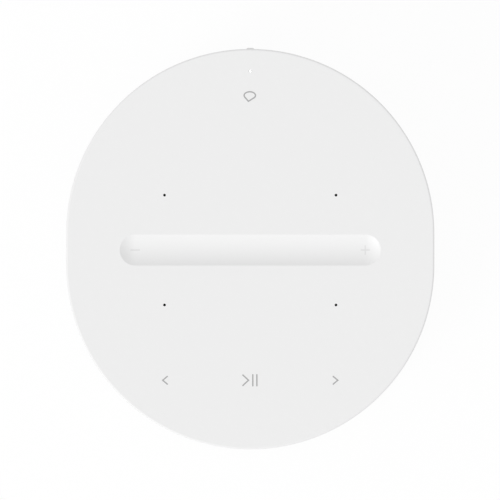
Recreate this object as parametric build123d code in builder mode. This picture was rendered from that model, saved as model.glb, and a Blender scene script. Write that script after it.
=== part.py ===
"""A white smart speaker: an oval upright body with a touch top, a wrap-round grille and a rear spine.

Units are millimetres. +Z is up, the front faces -Y, and the origin is the middle of the footprint.
The sections follow the order of assembly: base, woofer box, drivers, boards, skin, controls and top.
"""

import os
from math import asin, copysign, cos, pi, radians, sin, sqrt

from build123d import *

# Overall size
width = 120.0
straight_length = 10.5
height = 182.5

# Outer skin
grille_wall = 1.8
rear_wall = 2.0
spine_width = 40.0
spine_gap = 0.3
edge_softening = 0.6

# Grille holes, in brick bond: the solid has every fourth hole of every fourth row
hole_pitch = 2.2
hole_radius = 0.6
hole_margin = 2.0
hole_stride = 4

# Base and foot
foot_height = 2.5
foot_inset = 6.0
foot_band = 10.0
foot_groove_depth = 1.0
foot_groove_clearance = 0.1
base_rim_height = 6.5
base_floor = 3.0
base_wall = 2.6
lip_height = 4.0
lip_wall = 1.6
lip_clearance = 0.3
standoff_height = 6.5
standoff_radius = 4.5
box_screw_inset = 8.0
box_screw_setback = 5.0
base_counterbore = 2.0
insert_radius = 4.5
insert_bore_radius = 2.55
insert_length = 8.0
insert_seat_wall = 2.5

# Top panel and what sits under it
top_panel_height = 5.6
top_plate = 3.0
top_skirt = 1.8
reveal = 0.4
reveal_inset = 0.5
trough_y = -0.3
trough_length = 85.1
trough_width = 10.1
trough_depth = 1.6
mic_spacing_x = 55.9
mic_spacing_y = 35.8
mic_hole_radius = 0.45
light_inset = 7.25
light_hole_radius = 0.5
light_pipe_radius = 0.4
light_tab_size = 8.0
touch_board_inset = 12.5
board_thickness = 1.6
microphone_size = 3.5
microphone_height = 1.1
frame_ring_height = 8.5
frame_ring_width = 10.0
top_screw_inset = 6.5
top_screw_slack = 0.3
top_boss_radius = 3.2

# Woofer box and tweeter housing
skin_clearance = 2.2
box_wall = 2.5
baffle_thickness = 4.0
electronics_bay = 35.25
gasket_thickness = 1.0
box_rib_radius = 4.0

# Woofer, measured forward from the face that its flange sits on
woofer_radius = 46.0
woofer_side_clearance = 1.0
flange_thickness = 3.0
woofer_flange_width = 6.0
basket_wall = 1.5
basket_depth = 24.0
basket_windows = 6
window_length = 12.0
window_width = 8.0
cone_inset = 4.0
cone_depth = 14.0
cone_thickness = 0.8
surround_width = 4.5
surround_thickness = 0.6
surround_rise = 3.0
cone_glue_gap = 0.2
coil_radius = 12.7
coil_wall = 0.5
coil_length = 18.0
coil_gap = 0.5
top_plate_thickness = 4.0
motor_radius = 30.0
magnet_thickness = 12.0
magnet_overhang = 2.0
yoke_thickness = 5.0
spider_width = 10.0
spider_thickness = 0.5
dust_cap_radius = 16.0
dust_cap_rise = 4.0
woofer_screw_inset = 3.0

# Tweeters
tweeter_angle = 50.0
tweeter_radius = 19.0
tweeter_margin = 6.0
tweeter_side_clearance = 2.0
tweeter_flange = 2.5
tweeter_motor_radius = 13.5
tweeter_motor_length = 14.0
tweeter_hole_clearance = 0.5
dome_radius = 9.5
dome_rise = 3.0
dome_thickness = 0.5
dome_rim = 1.5
waveguide_mouth = 13.8
dome_clearance = 0.4

# Rear controls and sockets
button_radius = 4.5
button_fit = 0.2
button_flange = 1.2
button_flange_height = 1.2
button_sink = 0.2
button_rim = 0.5
button_dish = 0.3
button_travel = 0.8
collar_wall = 1.5
collar_length = 5.0
stem_radius = 1.6
tact_size = 6.0
switch_height = 3.5
plunger_radius = 1.6
plunger_proud = 1.3
plunger_clearance = 0.1
switch_drop = 19.5
knob_width = 2.8
knob_height = 5.0
knob_proud = 0.7
knob_travel = 2.5
knob_fit = 0.2
knob_groove_radius = 0.25
knob_groove_pitch = 1.0
knob_grooves = 3
carriage_width = 8.0
carriage_margin = 1.4
control_gap = 2.0
carriage_thickness = 1.2
lever_size = 1.6
lever_length = 4.6
lever_clearance = 0.15
fork_wall = 1.0
control_pad_width = 19.0
control_pad_sink = 2.75
port_recess = 3.75
port_pad = 2.0
port_rim = 2.0
io_gap = 7.9
io_board_width = 26.0
io_boss_radius = 2.6
io_boss_x = 9.0
usb_rise = 45.0
usb_pocket_width = 14.0
usb_pocket_height = 8.0
usb_width = 8.94
usb_height = 3.26
usb_wall = 0.3
usb_fit = 0.2
usb_tongue_width = 6.7
usb_tongue_thickness = 0.7
usb_tongue_back = 0.8
inlet_rise = 20.0
inlet_pocket_width = 26.0
inlet_pocket_height = 17.0
inlet_width = 18.0
inlet_height = 10.4
inlet_fit = 0.2
inlet_wall = 1.3
inlet_depth = 11.5
inlet_flange_width = 26.0
inlet_flange_height = 15.0
inlet_flange_thickness = 4.0
inlet_back = 4.0
pin_radius = 1.2
pin_spacing = 8.6
pin_sink = 2.0
pin_tail = 3.0
pin_fit = 0.05

# Boards at the back of the box
board_standoff = 6.0
board_boss_radius = 3.2
board_hole_inset = 5.0
power_board_width = 70.0
power_board_height = 68.0
main_board_width = 78.0
main_board_margin = 10.0
board_spacing = 8.0
transformer_x = -17.5
transformer_width = 22.0
transformer_height = 26.0
transformer_rise = 11.0
winding_overhang = 2.5
winding_height = 16.0
winding_depth = 7.0
component_clearance = 1.2
capacitor_radius = 5.0
capacitor_length = 10.5
capacitor_spacing = 12.0
shield_x = 15.6
shield_gap = 8.5
shield_width = 30.0
shield_height = 22.0
shield_depth = 2.5
heatsink_drop = 14.0
heatsink_base = 2.6
heatsink_width = 26.0
heatsink_height = 16.0
heatsink_depth = 8.0
heatsink_fin = 1.4
heatsink_fins = 6
ribbon_width = 12.0
ribbon_thickness = 0.3
ribbon_connector_width = 15.6
ribbon_connector_height = 4.0
ribbon_connector_depth = 3.0
antenna_length = 26.0
antenna_height = 18.0
antenna_thickness = 0.8
antenna_slot_length = 16.0
antenna_slot_height = 2.7
antenna_corner = 2.5

# Fasteners
screw_shank_radius = 1.2
screw_fit = 0.05
screw_clearance = 0.3
screw_head_radius = 2.3
screw_head_height = 1.6
screw_drive_radius = 1.1
screw_drive_depth = 0.9
screw_bite = 6.0

# Places worked out from the sizes above
depth = width + straight_length
arc_centre_y = straight_length / 2
rear_y = depth / 2

base_bottom = foot_height
base_floor_top = base_bottom + base_floor
base_top = base_bottom + base_rim_height
box_bottom = base_floor_top + standoff_height
top_panel_bottom = height - top_panel_height
top_plate_bottom = height - top_plate
grille_bottom = base_top
grille_top = top_panel_bottom - reveal
grille_middle_z = (grille_bottom + grille_top) / 2
frame_bottom = grille_top - frame_ring_height
tweeter_bay_height = 2 * (tweeter_radius + tweeter_margin)
box_top = frame_bottom - tweeter_bay_height
woofer_box_height = box_top - box_bottom

grille_edge_x = spine_width / 2 + spine_gap
skin_half_length = (pi - asin(2 * grille_edge_x / width)) * width / 2 + straight_length
hole_columns = 2 * int(skin_half_length / hole_pitch) + 1
hole_step = 2 * skin_half_length / hole_columns
hole_zone = grille_top - grille_bottom - 2 * hole_margin
hole_rows = 2 * int(hole_zone / (hole_pitch * sqrt(3))) + 1
hole_row_step = hole_zone / hole_rows

box_inset = grille_wall + skin_clearance
box_rear_y = rear_y - electronics_bay
box_split_y = -gasket_thickness / 2
lip_inset = max(grille_wall, rear_wall) + lip_clearance

basket_radius = woofer_radius - woofer_flange_width
cone_radius = basket_radius - cone_inset
woofer_screw_circle = woofer_radius - woofer_screw_inset
woofer_reach = width / 2 - grille_wall - woofer_side_clearance
baffle_y = flange_thickness - arc_centre_y - sqrt(woofer_reach**2 - woofer_radius**2)
woofer_z = (box_bottom + box_top) / 2

tweeter_reach = width / 2 - grille_wall - tweeter_side_clearance
tweeter_face = sqrt(tweeter_reach**2 - tweeter_radius**2) - tweeter_flange
tweeter_z = (box_top + frame_bottom) / 2

light_y = rear_y - light_inset
switch_z = grille_top - switch_drop
usb_z = grille_bottom + usb_rise
inlet_z = grille_bottom + inlet_rise

port_floor_y = rear_y - port_recess
port_inner_y = port_floor_y - port_pad
control_inner_y = rear_y - control_pad_sink
io_board_rear_y = port_inner_y - io_gap
io_board_front_y = io_board_rear_y - board_thickness

board_front_y = box_rear_y + board_standoff
board_rear_y = board_front_y + board_thickness
power_board_z = box_bottom + power_board_height / 2
transformer_depth = io_board_front_y - board_rear_y - component_clearance
main_board_bottom = box_bottom + power_board_height + board_spacing
main_board_height = frame_bottom - main_board_margin - main_board_bottom
main_board_z = main_board_bottom + main_board_height / 2
main_board_top = main_board_bottom + main_board_height

screw_hole_radius = screw_shank_radius + screw_clearance
pilot_radius = screw_shank_radius + screw_fit


def oval(inset, mode=Mode.ADD):
    """The body's outline, two half circles joined by short straights, drawn in by inset."""
    return SlotOverall(depth - 2 * inset, width - 2 * inset, rotation=90, mode=mode)


def across(y):
    """An upright plane at y, with X to the right and Z up, whose normal points to the front."""
    return Plane.XZ.offset(-y)


def section(origin, forward):
    """A plane through a driver's axis: its x is the radius and its y is the distance forward."""
    return Plane(origin=origin, x_dir=(0, 0, 1), z_dir=Vector(0, 0, 1).cross(Vector(*forward)))


def ring_section(inner, outer, back, front):
    """A rectangle in a driver's section, for a turned ring from inner to outer radius."""
    with Locations(((inner + outer) / 2, (back + front) / 2)):
        Rectangle(outer - inner, front - back)


def on_circle(radius, count, start):
    """Points spaced evenly on a circle, as (x, y) pairs."""
    angles = [radians(start + 360 * i / count) for i in range(count)]
    return [(radius * cos(a), radius * sin(a)) for a in angles]


def dome_point(rim_radius, rim_level, crown_level):
    """The point above half the rim's radius on the arc from a dome's rim to its crown."""
    rise = crown_level - rim_level
    ball = (rim_radius**2 + rise**2) / (2 * rise)
    half_radius = rim_radius / 2
    return half_radius, crown_level - ball + sqrt(ball**2 - half_radius**2)


def corners(half_x, half_y, centre_y=0.0):
    """The four corners of a rectangle about (0, centre_y)."""
    return [(sx * half_x, centre_y + sy * half_y) for sx in (-1, 1) for sy in (-1, 1)]


def screw_group(planes, points, length):
    """Socket-head screws whose heads sit on each plane, at points in it, with the normal towards the head."""
    with BuildPart() as group:
        for plane in planes:
            with BuildSketch(plane):
                with Locations(*points):
                    Circle(screw_head_radius)
            extrude(amount=screw_head_height)
            with BuildSketch(plane):
                with Locations(*points):
                    Circle(screw_shank_radius)
            extrude(amount=-length)
            with BuildSketch(plane.offset(screw_head_height)):
                with Locations(*points):
                    RegularPolygon(screw_drive_radius, 6)
            extrude(amount=-screw_drive_depth, mode=Mode.SUBTRACT)
    return group


def write(builder, name, surface_curves=True):
    """Labels a finished piece and writes it to its own file, with or without its edges' curves on its faces."""
    builder.part.label = name
    export_step(builder.part, f"parts/{name}.step", write_pcurves=surface_curves)


os.makedirs("parts", exist_ok=True)

# Foot ring: a soft band pressed into a groove under the base
with BuildPart() as foot_ring:
    with BuildSketch():
        oval(foot_inset)
        oval(foot_inset + foot_band, mode=Mode.SUBTRACT)
    extrude(amount=foot_height + foot_groove_depth)
    chamfer(foot_ring.edges().group_by(Axis.Z)[0], edge_softening)
write(foot_ring, "foot_ring")

# Base cover: a shallow tray with a locating lip, four standoffs and the seat of the stand insert
box_screw_x = width / 2 - foot_inset - foot_band - box_screw_inset
box_screw_y = box_rear_y - box_wall - box_screw_setback
box_screw_points = corners(box_screw_x, box_screw_y)
insert_seat_radius = insert_radius + insert_seat_wall
with BuildPart() as base_cover:
    with BuildSketch(Plane.XY.offset(base_bottom)):
        oval(0)
    extrude(amount=base_rim_height)
    fillet(base_cover.edges().group_by(Axis.Z)[0], edge_softening)
    with BuildSketch(Plane.XY.offset(base_floor_top)):
        oval(base_wall)
    extrude(amount=base_rim_height, mode=Mode.SUBTRACT)
    with BuildSketch(Plane.XY.offset(base_floor_top)):
        oval(lip_inset)
        oval(lip_inset + lip_wall, mode=Mode.SUBTRACT)
    extrude(amount=base_top + lip_height - base_floor_top)
    with BuildSketch(Plane.XY.offset(base_floor_top)):
        with Locations(*box_screw_points):
            Circle(standoff_radius)
    extrude(amount=standoff_height)
    with BuildSketch(Plane.XY.offset(base_bottom)):
        Circle(insert_seat_radius)
    extrude(amount=insert_length)
    with BuildSketch(Plane.XY.offset(base_bottom)):
        Circle(insert_radius)
    extrude(amount=insert_length, mode=Mode.SUBTRACT)
    with BuildSketch(Plane.XY.offset(base_bottom)):
        oval(foot_inset - foot_groove_clearance)
        oval(foot_inset + foot_band + foot_groove_clearance, mode=Mode.SUBTRACT)
    extrude(amount=foot_groove_depth, mode=Mode.SUBTRACT)
    with BuildSketch(Plane.XY.offset(base_bottom)):
        with Locations(*box_screw_points):
            Circle(screw_head_radius + screw_clearance)
    extrude(amount=base_counterbore, mode=Mode.SUBTRACT)
    with BuildSketch(Plane.XY.offset(base_bottom)):
        with Locations(*box_screw_points):
            Circle(screw_hole_radius)
    extrude(amount=base_floor + standoff_height, mode=Mode.SUBTRACT)
write(base_cover, "base_cover")

# Stand insert: a brass bush with the tapping bore of a quarter-inch camera thread
with BuildPart() as stand_insert:
    with BuildSketch(Plane.XY.offset(base_bottom)):
        Circle(insert_radius - screw_fit)
        Circle(insert_bore_radius, mode=Mode.SUBTRACT)
    extrude(amount=insert_length)
write(stand_insert, "stand_insert")

# Screws that hold the woofer box down on the base
base_screw_seat = base_bottom + base_counterbore
base_screws = screw_group(
    [Plane.XY.offset(base_screw_seat).rotated((180, 0, 0))],
    [(x, -y) for x, y in box_screw_points],
    box_bottom - base_screw_seat + screw_bite,
)
write(base_screws, "base_screws")

# Woofer box: two sealed half tubs that meet at a gasket, with ribs for the base screws
rib_height = screw_bite + box_wall
woofer_screw_points = on_circle(woofer_screw_circle, 4, 45)
cutout_radius = basket_radius + woofer_side_clearance


def box_half(near_y, far_y, near_wall, far_wall):
    """Adds a half tub between two planes of y, with the given walls at those ends."""
    with BuildSketch(Plane.XY.offset(box_bottom)) as outside:
        oval(box_inset)
        with Locations((0, (near_y + far_y) / 2)):
            Rectangle(width, far_y - near_y, mode=Mode.INTERSECT)
    extrude(outside.sketch, amount=woofer_box_height)
    inner_near = near_y + near_wall
    inner_far = far_y - far_wall
    with BuildSketch(Plane.XY.offset(box_bottom + box_wall)) as inside:
        oval(box_inset + box_wall)
        with Locations((0, (inner_near + inner_far) / 2)):
            Rectangle(width, inner_far - inner_near, mode=Mode.INTERSECT)
    extrude(inside.sketch, amount=woofer_box_height - 2 * box_wall, mode=Mode.SUBTRACT)


def box_ribs(points):
    """Adds the screw ribs in the box floor and drills them."""
    with BuildSketch(Plane.XY.offset(box_bottom)) as ribs:
        with Locations(*points):
            Circle(box_rib_radius)
    extrude(ribs.sketch, amount=rib_height)
    with BuildSketch(Plane.XY.offset(box_bottom)) as pilots:
        with Locations(*points):
            Circle(pilot_radius)
    extrude(pilots.sketch, amount=screw_bite + screw_fit, mode=Mode.SUBTRACT)


def housing_pilots(points):
    """Drills the box roof for the tweeter housing's screws, in bosses under it."""
    with BuildSketch(Plane.XY.offset(box_top - rib_height)) as bosses:
        with Locations(*points):
            Circle(box_rib_radius)
    extrude(bosses.sketch, amount=rib_height)
    with BuildSketch(Plane.XY.offset(box_top)) as pilots:
        with Locations(*points):
            Circle(pilot_radius)
    extrude(pilots.sketch, amount=-screw_bite - screw_fit, mode=Mode.SUBTRACT)


def split_points(points, rear):
    """The points in the rear half of the body, or those in the front half."""
    return [p for p in points if (p[1] > 0) == rear]


with BuildPart() as enclosure_front:
    box_half(baffle_y, box_split_y, baffle_thickness, 0)
    box_ribs(split_points(box_screw_points, rear=False))
    housing_pilots(split_points(box_screw_points, rear=False))
    with BuildSketch(across(baffle_y)):
        with Locations((0, woofer_z)):
            Circle(cutout_radius)
    extrude(amount=-baffle_thickness, mode=Mode.SUBTRACT)
    with BuildSketch(across(baffle_y)):
        with Locations(*[(x, woofer_z + z) for x, z in woofer_screw_points]):
            Circle(pilot_radius)
    extrude(amount=-baffle_thickness, mode=Mode.SUBTRACT)
write(enclosure_front, "enclosure_front")

power_board_points = corners(
    power_board_width / 2 - board_hole_inset,
    power_board_height / 2 - board_hole_inset,
    power_board_z,
)
main_board_points = corners(
    main_board_width / 2 - board_hole_inset,
    main_board_height / 2 - board_hole_inset,
    main_board_z,
)
box_board_points = power_board_points + [p for p in main_board_points if p[1] < box_top]
housing_board_points = [p for p in main_board_points if p[1] > box_top]


def board_bosses(points):
    """Adds drilled posts on the back wall that carry the upright boards."""
    with BuildSketch(across(board_front_y)) as posts:
        with Locations(*points):
            Circle(board_boss_radius)
    extrude(posts.sketch, amount=board_standoff + box_wall)
    with BuildSketch(across(board_front_y)) as pilots:
        with Locations(*points):
            Circle(pilot_radius)
    extrude(pilots.sketch, amount=screw_bite, mode=Mode.SUBTRACT)


with BuildPart() as enclosure_rear:
    box_half(-box_split_y, box_rear_y, 0, box_wall)
    box_ribs(split_points(box_screw_points, rear=True))
    housing_pilots(split_points(box_screw_points, rear=True))
    board_bosses(box_board_points)
write(enclosure_rear, "enclosure_rear")

with BuildPart() as enclosure_gasket:
    with BuildSketch(Plane.XY.offset(box_bottom)):
        oval(box_inset)
        Rectangle(width, gasket_thickness, mode=Mode.INTERSECT)
    extrude(amount=woofer_box_height)
    with BuildSketch(Plane.XY.offset(box_bottom + box_wall)):
        Rectangle(width - 2 * (box_inset + box_wall), gasket_thickness)
    extrude(amount=woofer_box_height - 2 * box_wall, mode=Mode.SUBTRACT)
write(enclosure_gasket, "enclosure_gasket")

# Tweeter housing: an open tub on the woofer box, with a slanted face for each tweeter
slant = radians(tweeter_angle)
housing_outer_x = width / 2 - box_inset - box_wall
face_corner_x = tweeter_face * sin(slant) - tweeter_radius * cos(slant)
face_corner_y = -arc_centre_y - tweeter_face * cos(slant) - tweeter_radius * sin(slant)
side_corner_y = face_corner_y + (housing_outer_x - face_corner_x) * sin(slant) / cos(slant)
housing_points = [
    (face_corner_x, face_corner_y),
    (housing_outer_x, side_corner_y),
    (housing_outer_x, box_rear_y),
    (-housing_outer_x, box_rear_y),
    (-housing_outer_x, side_corner_y),
    (-face_corner_x, face_corner_y),
]
tweeter_hole_radius = tweeter_motor_radius + tweeter_hole_clearance
tweeter_screw_points = on_circle((tweeter_hole_radius + tweeter_radius) / 2, 3, 90)


def tweeter_frame(sign):
    """The centre of a tweeter's seat on its slanted face, and the direction that it faces."""
    forward = (sign * sin(slant), -cos(slant), 0)
    seat = (forward[0] * tweeter_face, -arc_centre_y + forward[1] * tweeter_face, tweeter_z)
    return seat, forward


with BuildPart() as tweeter_housing:
    with BuildSketch(Plane.XY.offset(box_top)):
        Polygon(*housing_points, align=None)
        oval(box_inset, mode=Mode.INTERSECT)
    extrude(amount=frame_bottom - box_top)
    with BuildSketch(Plane.XY.offset(box_top + box_wall)):
        Polygon(*housing_points, align=None)
        offset(amount=-box_wall, kind=Kind.INTERSECTION, mode=Mode.REPLACE)
        oval(box_inset + box_wall, mode=Mode.INTERSECT)
    extrude(amount=frame_bottom - box_top, mode=Mode.SUBTRACT)
    board_bosses(housing_board_points)
    with BuildSketch(Plane.XY.offset(box_top)):
        with Locations(*box_screw_points):
            Circle(screw_hole_radius)
    extrude(amount=box_wall, mode=Mode.SUBTRACT)
    for sign in (-1, 1):
        seat, forward = tweeter_frame(sign)
        seat_plane = Plane(origin=seat, x_dir=(0, 0, 1), z_dir=forward)
        with BuildSketch(seat_plane):
            Circle(tweeter_hole_radius)
            with Locations(*tweeter_screw_points):
                Circle(pilot_radius)
        extrude(amount=-box_wall * 2, mode=Mode.SUBTRACT)
write(tweeter_housing, "tweeter_housing")

housing_screws = screw_group([Plane.XY.offset(box_top + box_wall)], box_screw_points, box_wall + screw_bite)
write(housing_screws, "housing_screws")

# Woofer: turned pieces about an axis that faces the front
woofer_seat = (0, baffle_y, woofer_z)
woofer_section = section(woofer_seat, (0, -1, 0))
woofer_axis = Axis(woofer_seat, (0, -1, 0))
surround_outer = cone_radius + surround_width
basket_seat_radius = surround_outer - 2 * surround_thickness
former_inner = coil_radius - coil_wall
gap_outer = coil_radius + coil_gap
pole_radius = former_inner - coil_gap
basket_back = -basket_depth
plate_back = basket_back - top_plate_thickness
magnet_back = plate_back - magnet_thickness
spider_outer = coil_radius + spider_width
spider_seat = -cone_depth - spider_thickness * 2

with BuildPart() as woofer_basket:
    with BuildSketch(woofer_section):
        ring_section(basket_seat_radius, woofer_radius, 0, flange_thickness)
        ring_section(basket_radius - basket_wall, basket_radius, basket_back / 2, flange_thickness)
        with BuildLine():
            Polyline(
                (basket_radius - basket_wall, basket_back / 2),
                (basket_radius, basket_back / 2),
                (motor_radius, basket_back),
                (motor_radius - basket_wall, basket_back + basket_wall),
                close=True,
            )
        make_face()
        ring_section(gap_outer, motor_radius, basket_back, basket_back + basket_wall)
        ring_section(spider_outer, spider_outer + basket_wall, basket_back, spider_seat)
    revolve(axis=woofer_axis)
    with BuildSketch(across(baffle_y)):
        with Locations((0, woofer_z)):
            with PolarLocations((basket_radius + motor_radius) / 2, basket_windows):
                SlotOverall(window_length, window_width, rotation=90)
    extrude(amount=-basket_depth, mode=Mode.SUBTRACT)
    with BuildSketch(across(baffle_y)):
        with Locations(*[(x, woofer_z + z) for x, z in woofer_screw_points]):
            Circle(screw_hole_radius)
    extrude(amount=flange_thickness, mode=Mode.SUBTRACT)
write(woofer_basket, "woofer_basket")

with BuildPart() as woofer_top_plate:
    with BuildSketch(woofer_section):
        ring_section(gap_outer, motor_radius, plate_back, basket_back)
    revolve(axis=woofer_axis)
write(woofer_top_plate, "woofer_top_plate")

with BuildPart() as woofer_magnet:
    with BuildSketch(woofer_section):
        ring_section(gap_outer + magnet_overhang, motor_radius + magnet_overhang, magnet_back, plate_back)
    revolve(axis=woofer_axis)
write(woofer_magnet, "woofer_magnet")

with BuildPart() as woofer_yoke:
    with BuildSketch(woofer_section):
        ring_section(0, motor_radius, magnet_back - yoke_thickness, magnet_back)
        ring_section(0, pole_radius, magnet_back, basket_back)
    revolve(axis=woofer_axis)
write(woofer_yoke, "woofer_yoke")

with BuildPart() as voice_coil:
    with BuildSketch(woofer_section):
        ring_section(former_inner, coil_radius, -cone_depth - coil_length, -cone_depth)
    revolve(axis=woofer_axis)
write(voice_coil, "voice_coil")

cone_lip = 2 * cone_thickness
with BuildPart() as woofer_cone:
    with BuildSketch(woofer_section):
        with BuildLine():
            Polyline(
                (former_inner, -cone_depth),
                (coil_radius, -cone_depth),
                (cone_radius, 0),
                (cone_radius, cone_thickness),
                (cone_radius - cone_lip, cone_thickness),
                (former_inner, -cone_depth + cone_thickness),
                close=True,
            )
        make_face()
    revolve(axis=woofer_axis)
write(woofer_cone, "woofer_cone")

# The dust cap closes the cone's throat, standing on the cone's front face
cone_slope = cone_depth / (cone_radius - cone_lip - former_inner)
cap_seat = cone_thickness - cone_depth + (dust_cap_radius - former_inner) * cone_slope
cap_crown = cap_seat + dust_cap_rise
cap_inner_radius = dust_cap_radius - cone_thickness
cap_inner_crown = cap_crown - cone_thickness
with BuildPart() as dust_cap:
    with BuildSketch(woofer_section):
        with BuildLine():
            cap_outside = ThreePointArc(
                (0, cap_crown),
                dome_point(dust_cap_radius, cap_seat, cap_crown),
                (dust_cap_radius, cap_seat),
            )
            cap_inside = ThreePointArc(
                (cap_inner_radius, cap_seat),
                dome_point(cap_inner_radius, cap_seat, cap_inner_crown),
                (0, cap_inner_crown),
            )
            Line(cap_outside @ 1, cap_inside @ 0)
            Line(cap_inside @ 1, cap_outside @ 0)
        make_face()
    revolve(axis=woofer_axis)
write(dust_cap, "dust_cap")

# The surround is a half roll from the cone's edge to the flange
surround_middle = cone_radius + surround_width / 2
with BuildPart() as woofer_surround:
    with BuildSketch(woofer_section):
        with BuildLine():
            roll_out = ThreePointArc(
                (cone_radius + cone_glue_gap, flange_thickness),
                (surround_middle, flange_thickness + surround_rise),
                (surround_outer, flange_thickness),
            )
            roll_in = ThreePointArc(
                (surround_outer - surround_thickness, flange_thickness),
                (surround_middle, flange_thickness + surround_rise - surround_thickness),
                (cone_radius + surround_thickness, flange_thickness),
            )
            Line(roll_out @ 1, roll_in @ 0)
            Line(roll_in @ 1, roll_out @ 0)
        make_face()
        ring_section(
            cone_radius + cone_glue_gap, cone_radius + surround_thickness, 0, flange_thickness
        )
    revolve(axis=woofer_axis)
write(woofer_surround, "woofer_surround")

# The spider is a flat ring with one raised roll, from the coil former to a shelf in the basket
spider_middle = coil_radius + spider_width / 2
with BuildPart() as woofer_spider:
    with BuildSketch(woofer_section):
        ring_section(
            coil_radius + screw_fit, spider_outer + basket_wall, spider_seat, spider_seat + spider_thickness
        )
        ring_section(
            spider_middle - spider_thickness,
            spider_middle + spider_thickness,
            spider_seat,
            spider_seat + 2 * spider_thickness,
        )
    revolve(axis=woofer_axis)
write(woofer_spider, "woofer_spider")

woofer_screws = screw_group(
    [across(baffle_y - flange_thickness)],
    [(x, woofer_z + z) for x, z in woofer_screw_points],
    flange_thickness + baffle_thickness,
)
write(woofer_screws, "woofer_screws")

# Tweeters: a horn-mouthed face, a dome that moves and a motor cup behind it, left and right
dome_outer = dome_radius + dome_rim
motor_front = -dome_thickness
tweeter_planes = []
for side, sign in (("left", -1), ("right", 1)):
    seat, forward = tweeter_frame(sign)
    plane = section(seat, forward)
    axis = Axis(seat, forward)
    tweeter_planes.append(Plane(origin=seat, x_dir=(0, 0, 1), z_dir=forward).offset(tweeter_flange))

    with BuildPart() as tweeter_face_ring:
        with BuildSketch(plane):
            with BuildLine():
                Polyline(
                    (dome_outer + dome_clearance, 0),
                    (tweeter_radius, 0),
                    (tweeter_radius, tweeter_flange),
                    (waveguide_mouth, tweeter_flange),
                    close=True,
                )
            make_face()
        revolve(axis=axis)
        with BuildSketch(Plane(origin=seat, x_dir=(0, 0, 1), z_dir=forward)):
            with Locations(*tweeter_screw_points):
                Circle(screw_hole_radius)
        extrude(amount=tweeter_flange, mode=Mode.SUBTRACT)
    write(tweeter_face_ring, f"tweeter_face_{side}")

    with BuildPart() as tweeter_motor:
        with BuildSketch(plane):
            ring_section(0, tweeter_motor_radius, -tweeter_motor_length, motor_front - dome_rim)
            ring_section(dome_outer + dome_clearance, tweeter_motor_radius, motor_front - dome_rim, 0)
        revolve(axis=axis)
    write(tweeter_motor, f"tweeter_motor_{side}")

    with BuildPart() as tweeter_dome:
        with BuildSketch(plane):
            with BuildLine():
                cap = ThreePointArc((0, dome_rise), dome_point(dome_radius, 0, dome_rise), (dome_radius, 0))
                rim = Polyline(
                    (dome_radius, 0),
                    (dome_outer, 0),
                    (dome_outer, motor_front),
                    (dome_radius - dome_thickness, motor_front),
                )
                hollow = ThreePointArc(
                    (dome_radius - dome_thickness, motor_front),
                    dome_point(dome_radius - dome_thickness, motor_front, dome_rise - dome_thickness),
                    (0, dome_rise - dome_thickness),
                )
                Line(hollow @ 1, cap @ 0)
            make_face()
        revolve(axis=axis)
    write(tweeter_dome, f"tweeter_dome_{side}")

tweeter_screws = screw_group(tweeter_planes, tweeter_screw_points, tweeter_flange + box_wall)
write(tweeter_screws, "tweeter_screws")

# Power board and main board: upright on posts behind the box
for name, points, board_width, board_height, board_z in (
    ("power_board", power_board_points, power_board_width, power_board_height, power_board_z),
    ("main_board", main_board_points, main_board_width, main_board_height, main_board_z),
):
    with BuildPart() as board:
        with BuildSketch(across(board_rear_y)):
            with Locations((0, board_z)):
                Rectangle(board_width, board_height)
            with Locations(*points):
                Circle(screw_hole_radius, mode=Mode.SUBTRACT)
        extrude(amount=board_thickness)
    write(board, name)
    board_screws = screw_group(
        [across(board_rear_y).rotated((180, 0, 0))],
        [(x, -z) for x, z in points],
        board_thickness + screw_bite - screw_fit,
    )
    write(board_screws, f"{name}_screws")

transformer_z = power_board_z + transformer_rise
with BuildPart() as transformer:
    with BuildSketch(across(board_rear_y + transformer_depth)):
        with Locations((transformer_x, transformer_z)):
            Rectangle(transformer_width, transformer_height)
    extrude(amount=transformer_depth)
    chamfer(transformer.edges().filter_by(Axis.Y), edge_softening)
    with BuildSketch(across(board_rear_y + (transformer_depth + winding_depth) / 2)):
        with Locations((transformer_x, transformer_z)):
            Rectangle(transformer_width + 2 * winding_overhang, winding_height)
    extrude(amount=winding_depth)
write(transformer, "transformer")

with BuildPart() as capacitors:
    with BuildSketch(across(board_rear_y + capacitor_length)):
        with Locations((-transformer_x, transformer_z)):
            with GridLocations(capacitor_spacing, capacitor_spacing, 1, 2):
                Circle(capacitor_radius)
    extrude(amount=capacitor_length)
    fillet(capacitors.edges().group_by(Axis.Y)[-1], edge_softening)
write(capacitors, "capacitors")

shield_z = main_board_top - ribbon_connector_height - shield_gap - shield_height / 2
with BuildPart() as shield_can:
    with BuildSketch(across(board_rear_y + shield_depth)):
        with Locations((shield_x, shield_z)):
            RectangleRounded(shield_width, shield_height, edge_softening)
    extrude(amount=shield_depth)
write(shield_can, "shield_can")

heatsink_z = main_board_z - heatsink_drop
fin_pitch = (heatsink_width - heatsink_fin) / (heatsink_fins - 1)
with BuildPart() as amplifier_heatsink:
    with BuildSketch(across(board_rear_y + heatsink_base)):
        with Locations((-shield_x, heatsink_z)):
            Rectangle(heatsink_width, heatsink_height)
    extrude(amount=heatsink_base)
    with BuildSketch(across(board_rear_y + heatsink_depth)):
        with Locations((-shield_x, heatsink_z)):
            with GridLocations(fin_pitch, heatsink_height, heatsink_fins, 1):
                Rectangle(heatsink_fin, heatsink_height)
    extrude(amount=heatsink_depth)
write(amplifier_heatsink, "amplifier_heatsink")

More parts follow.
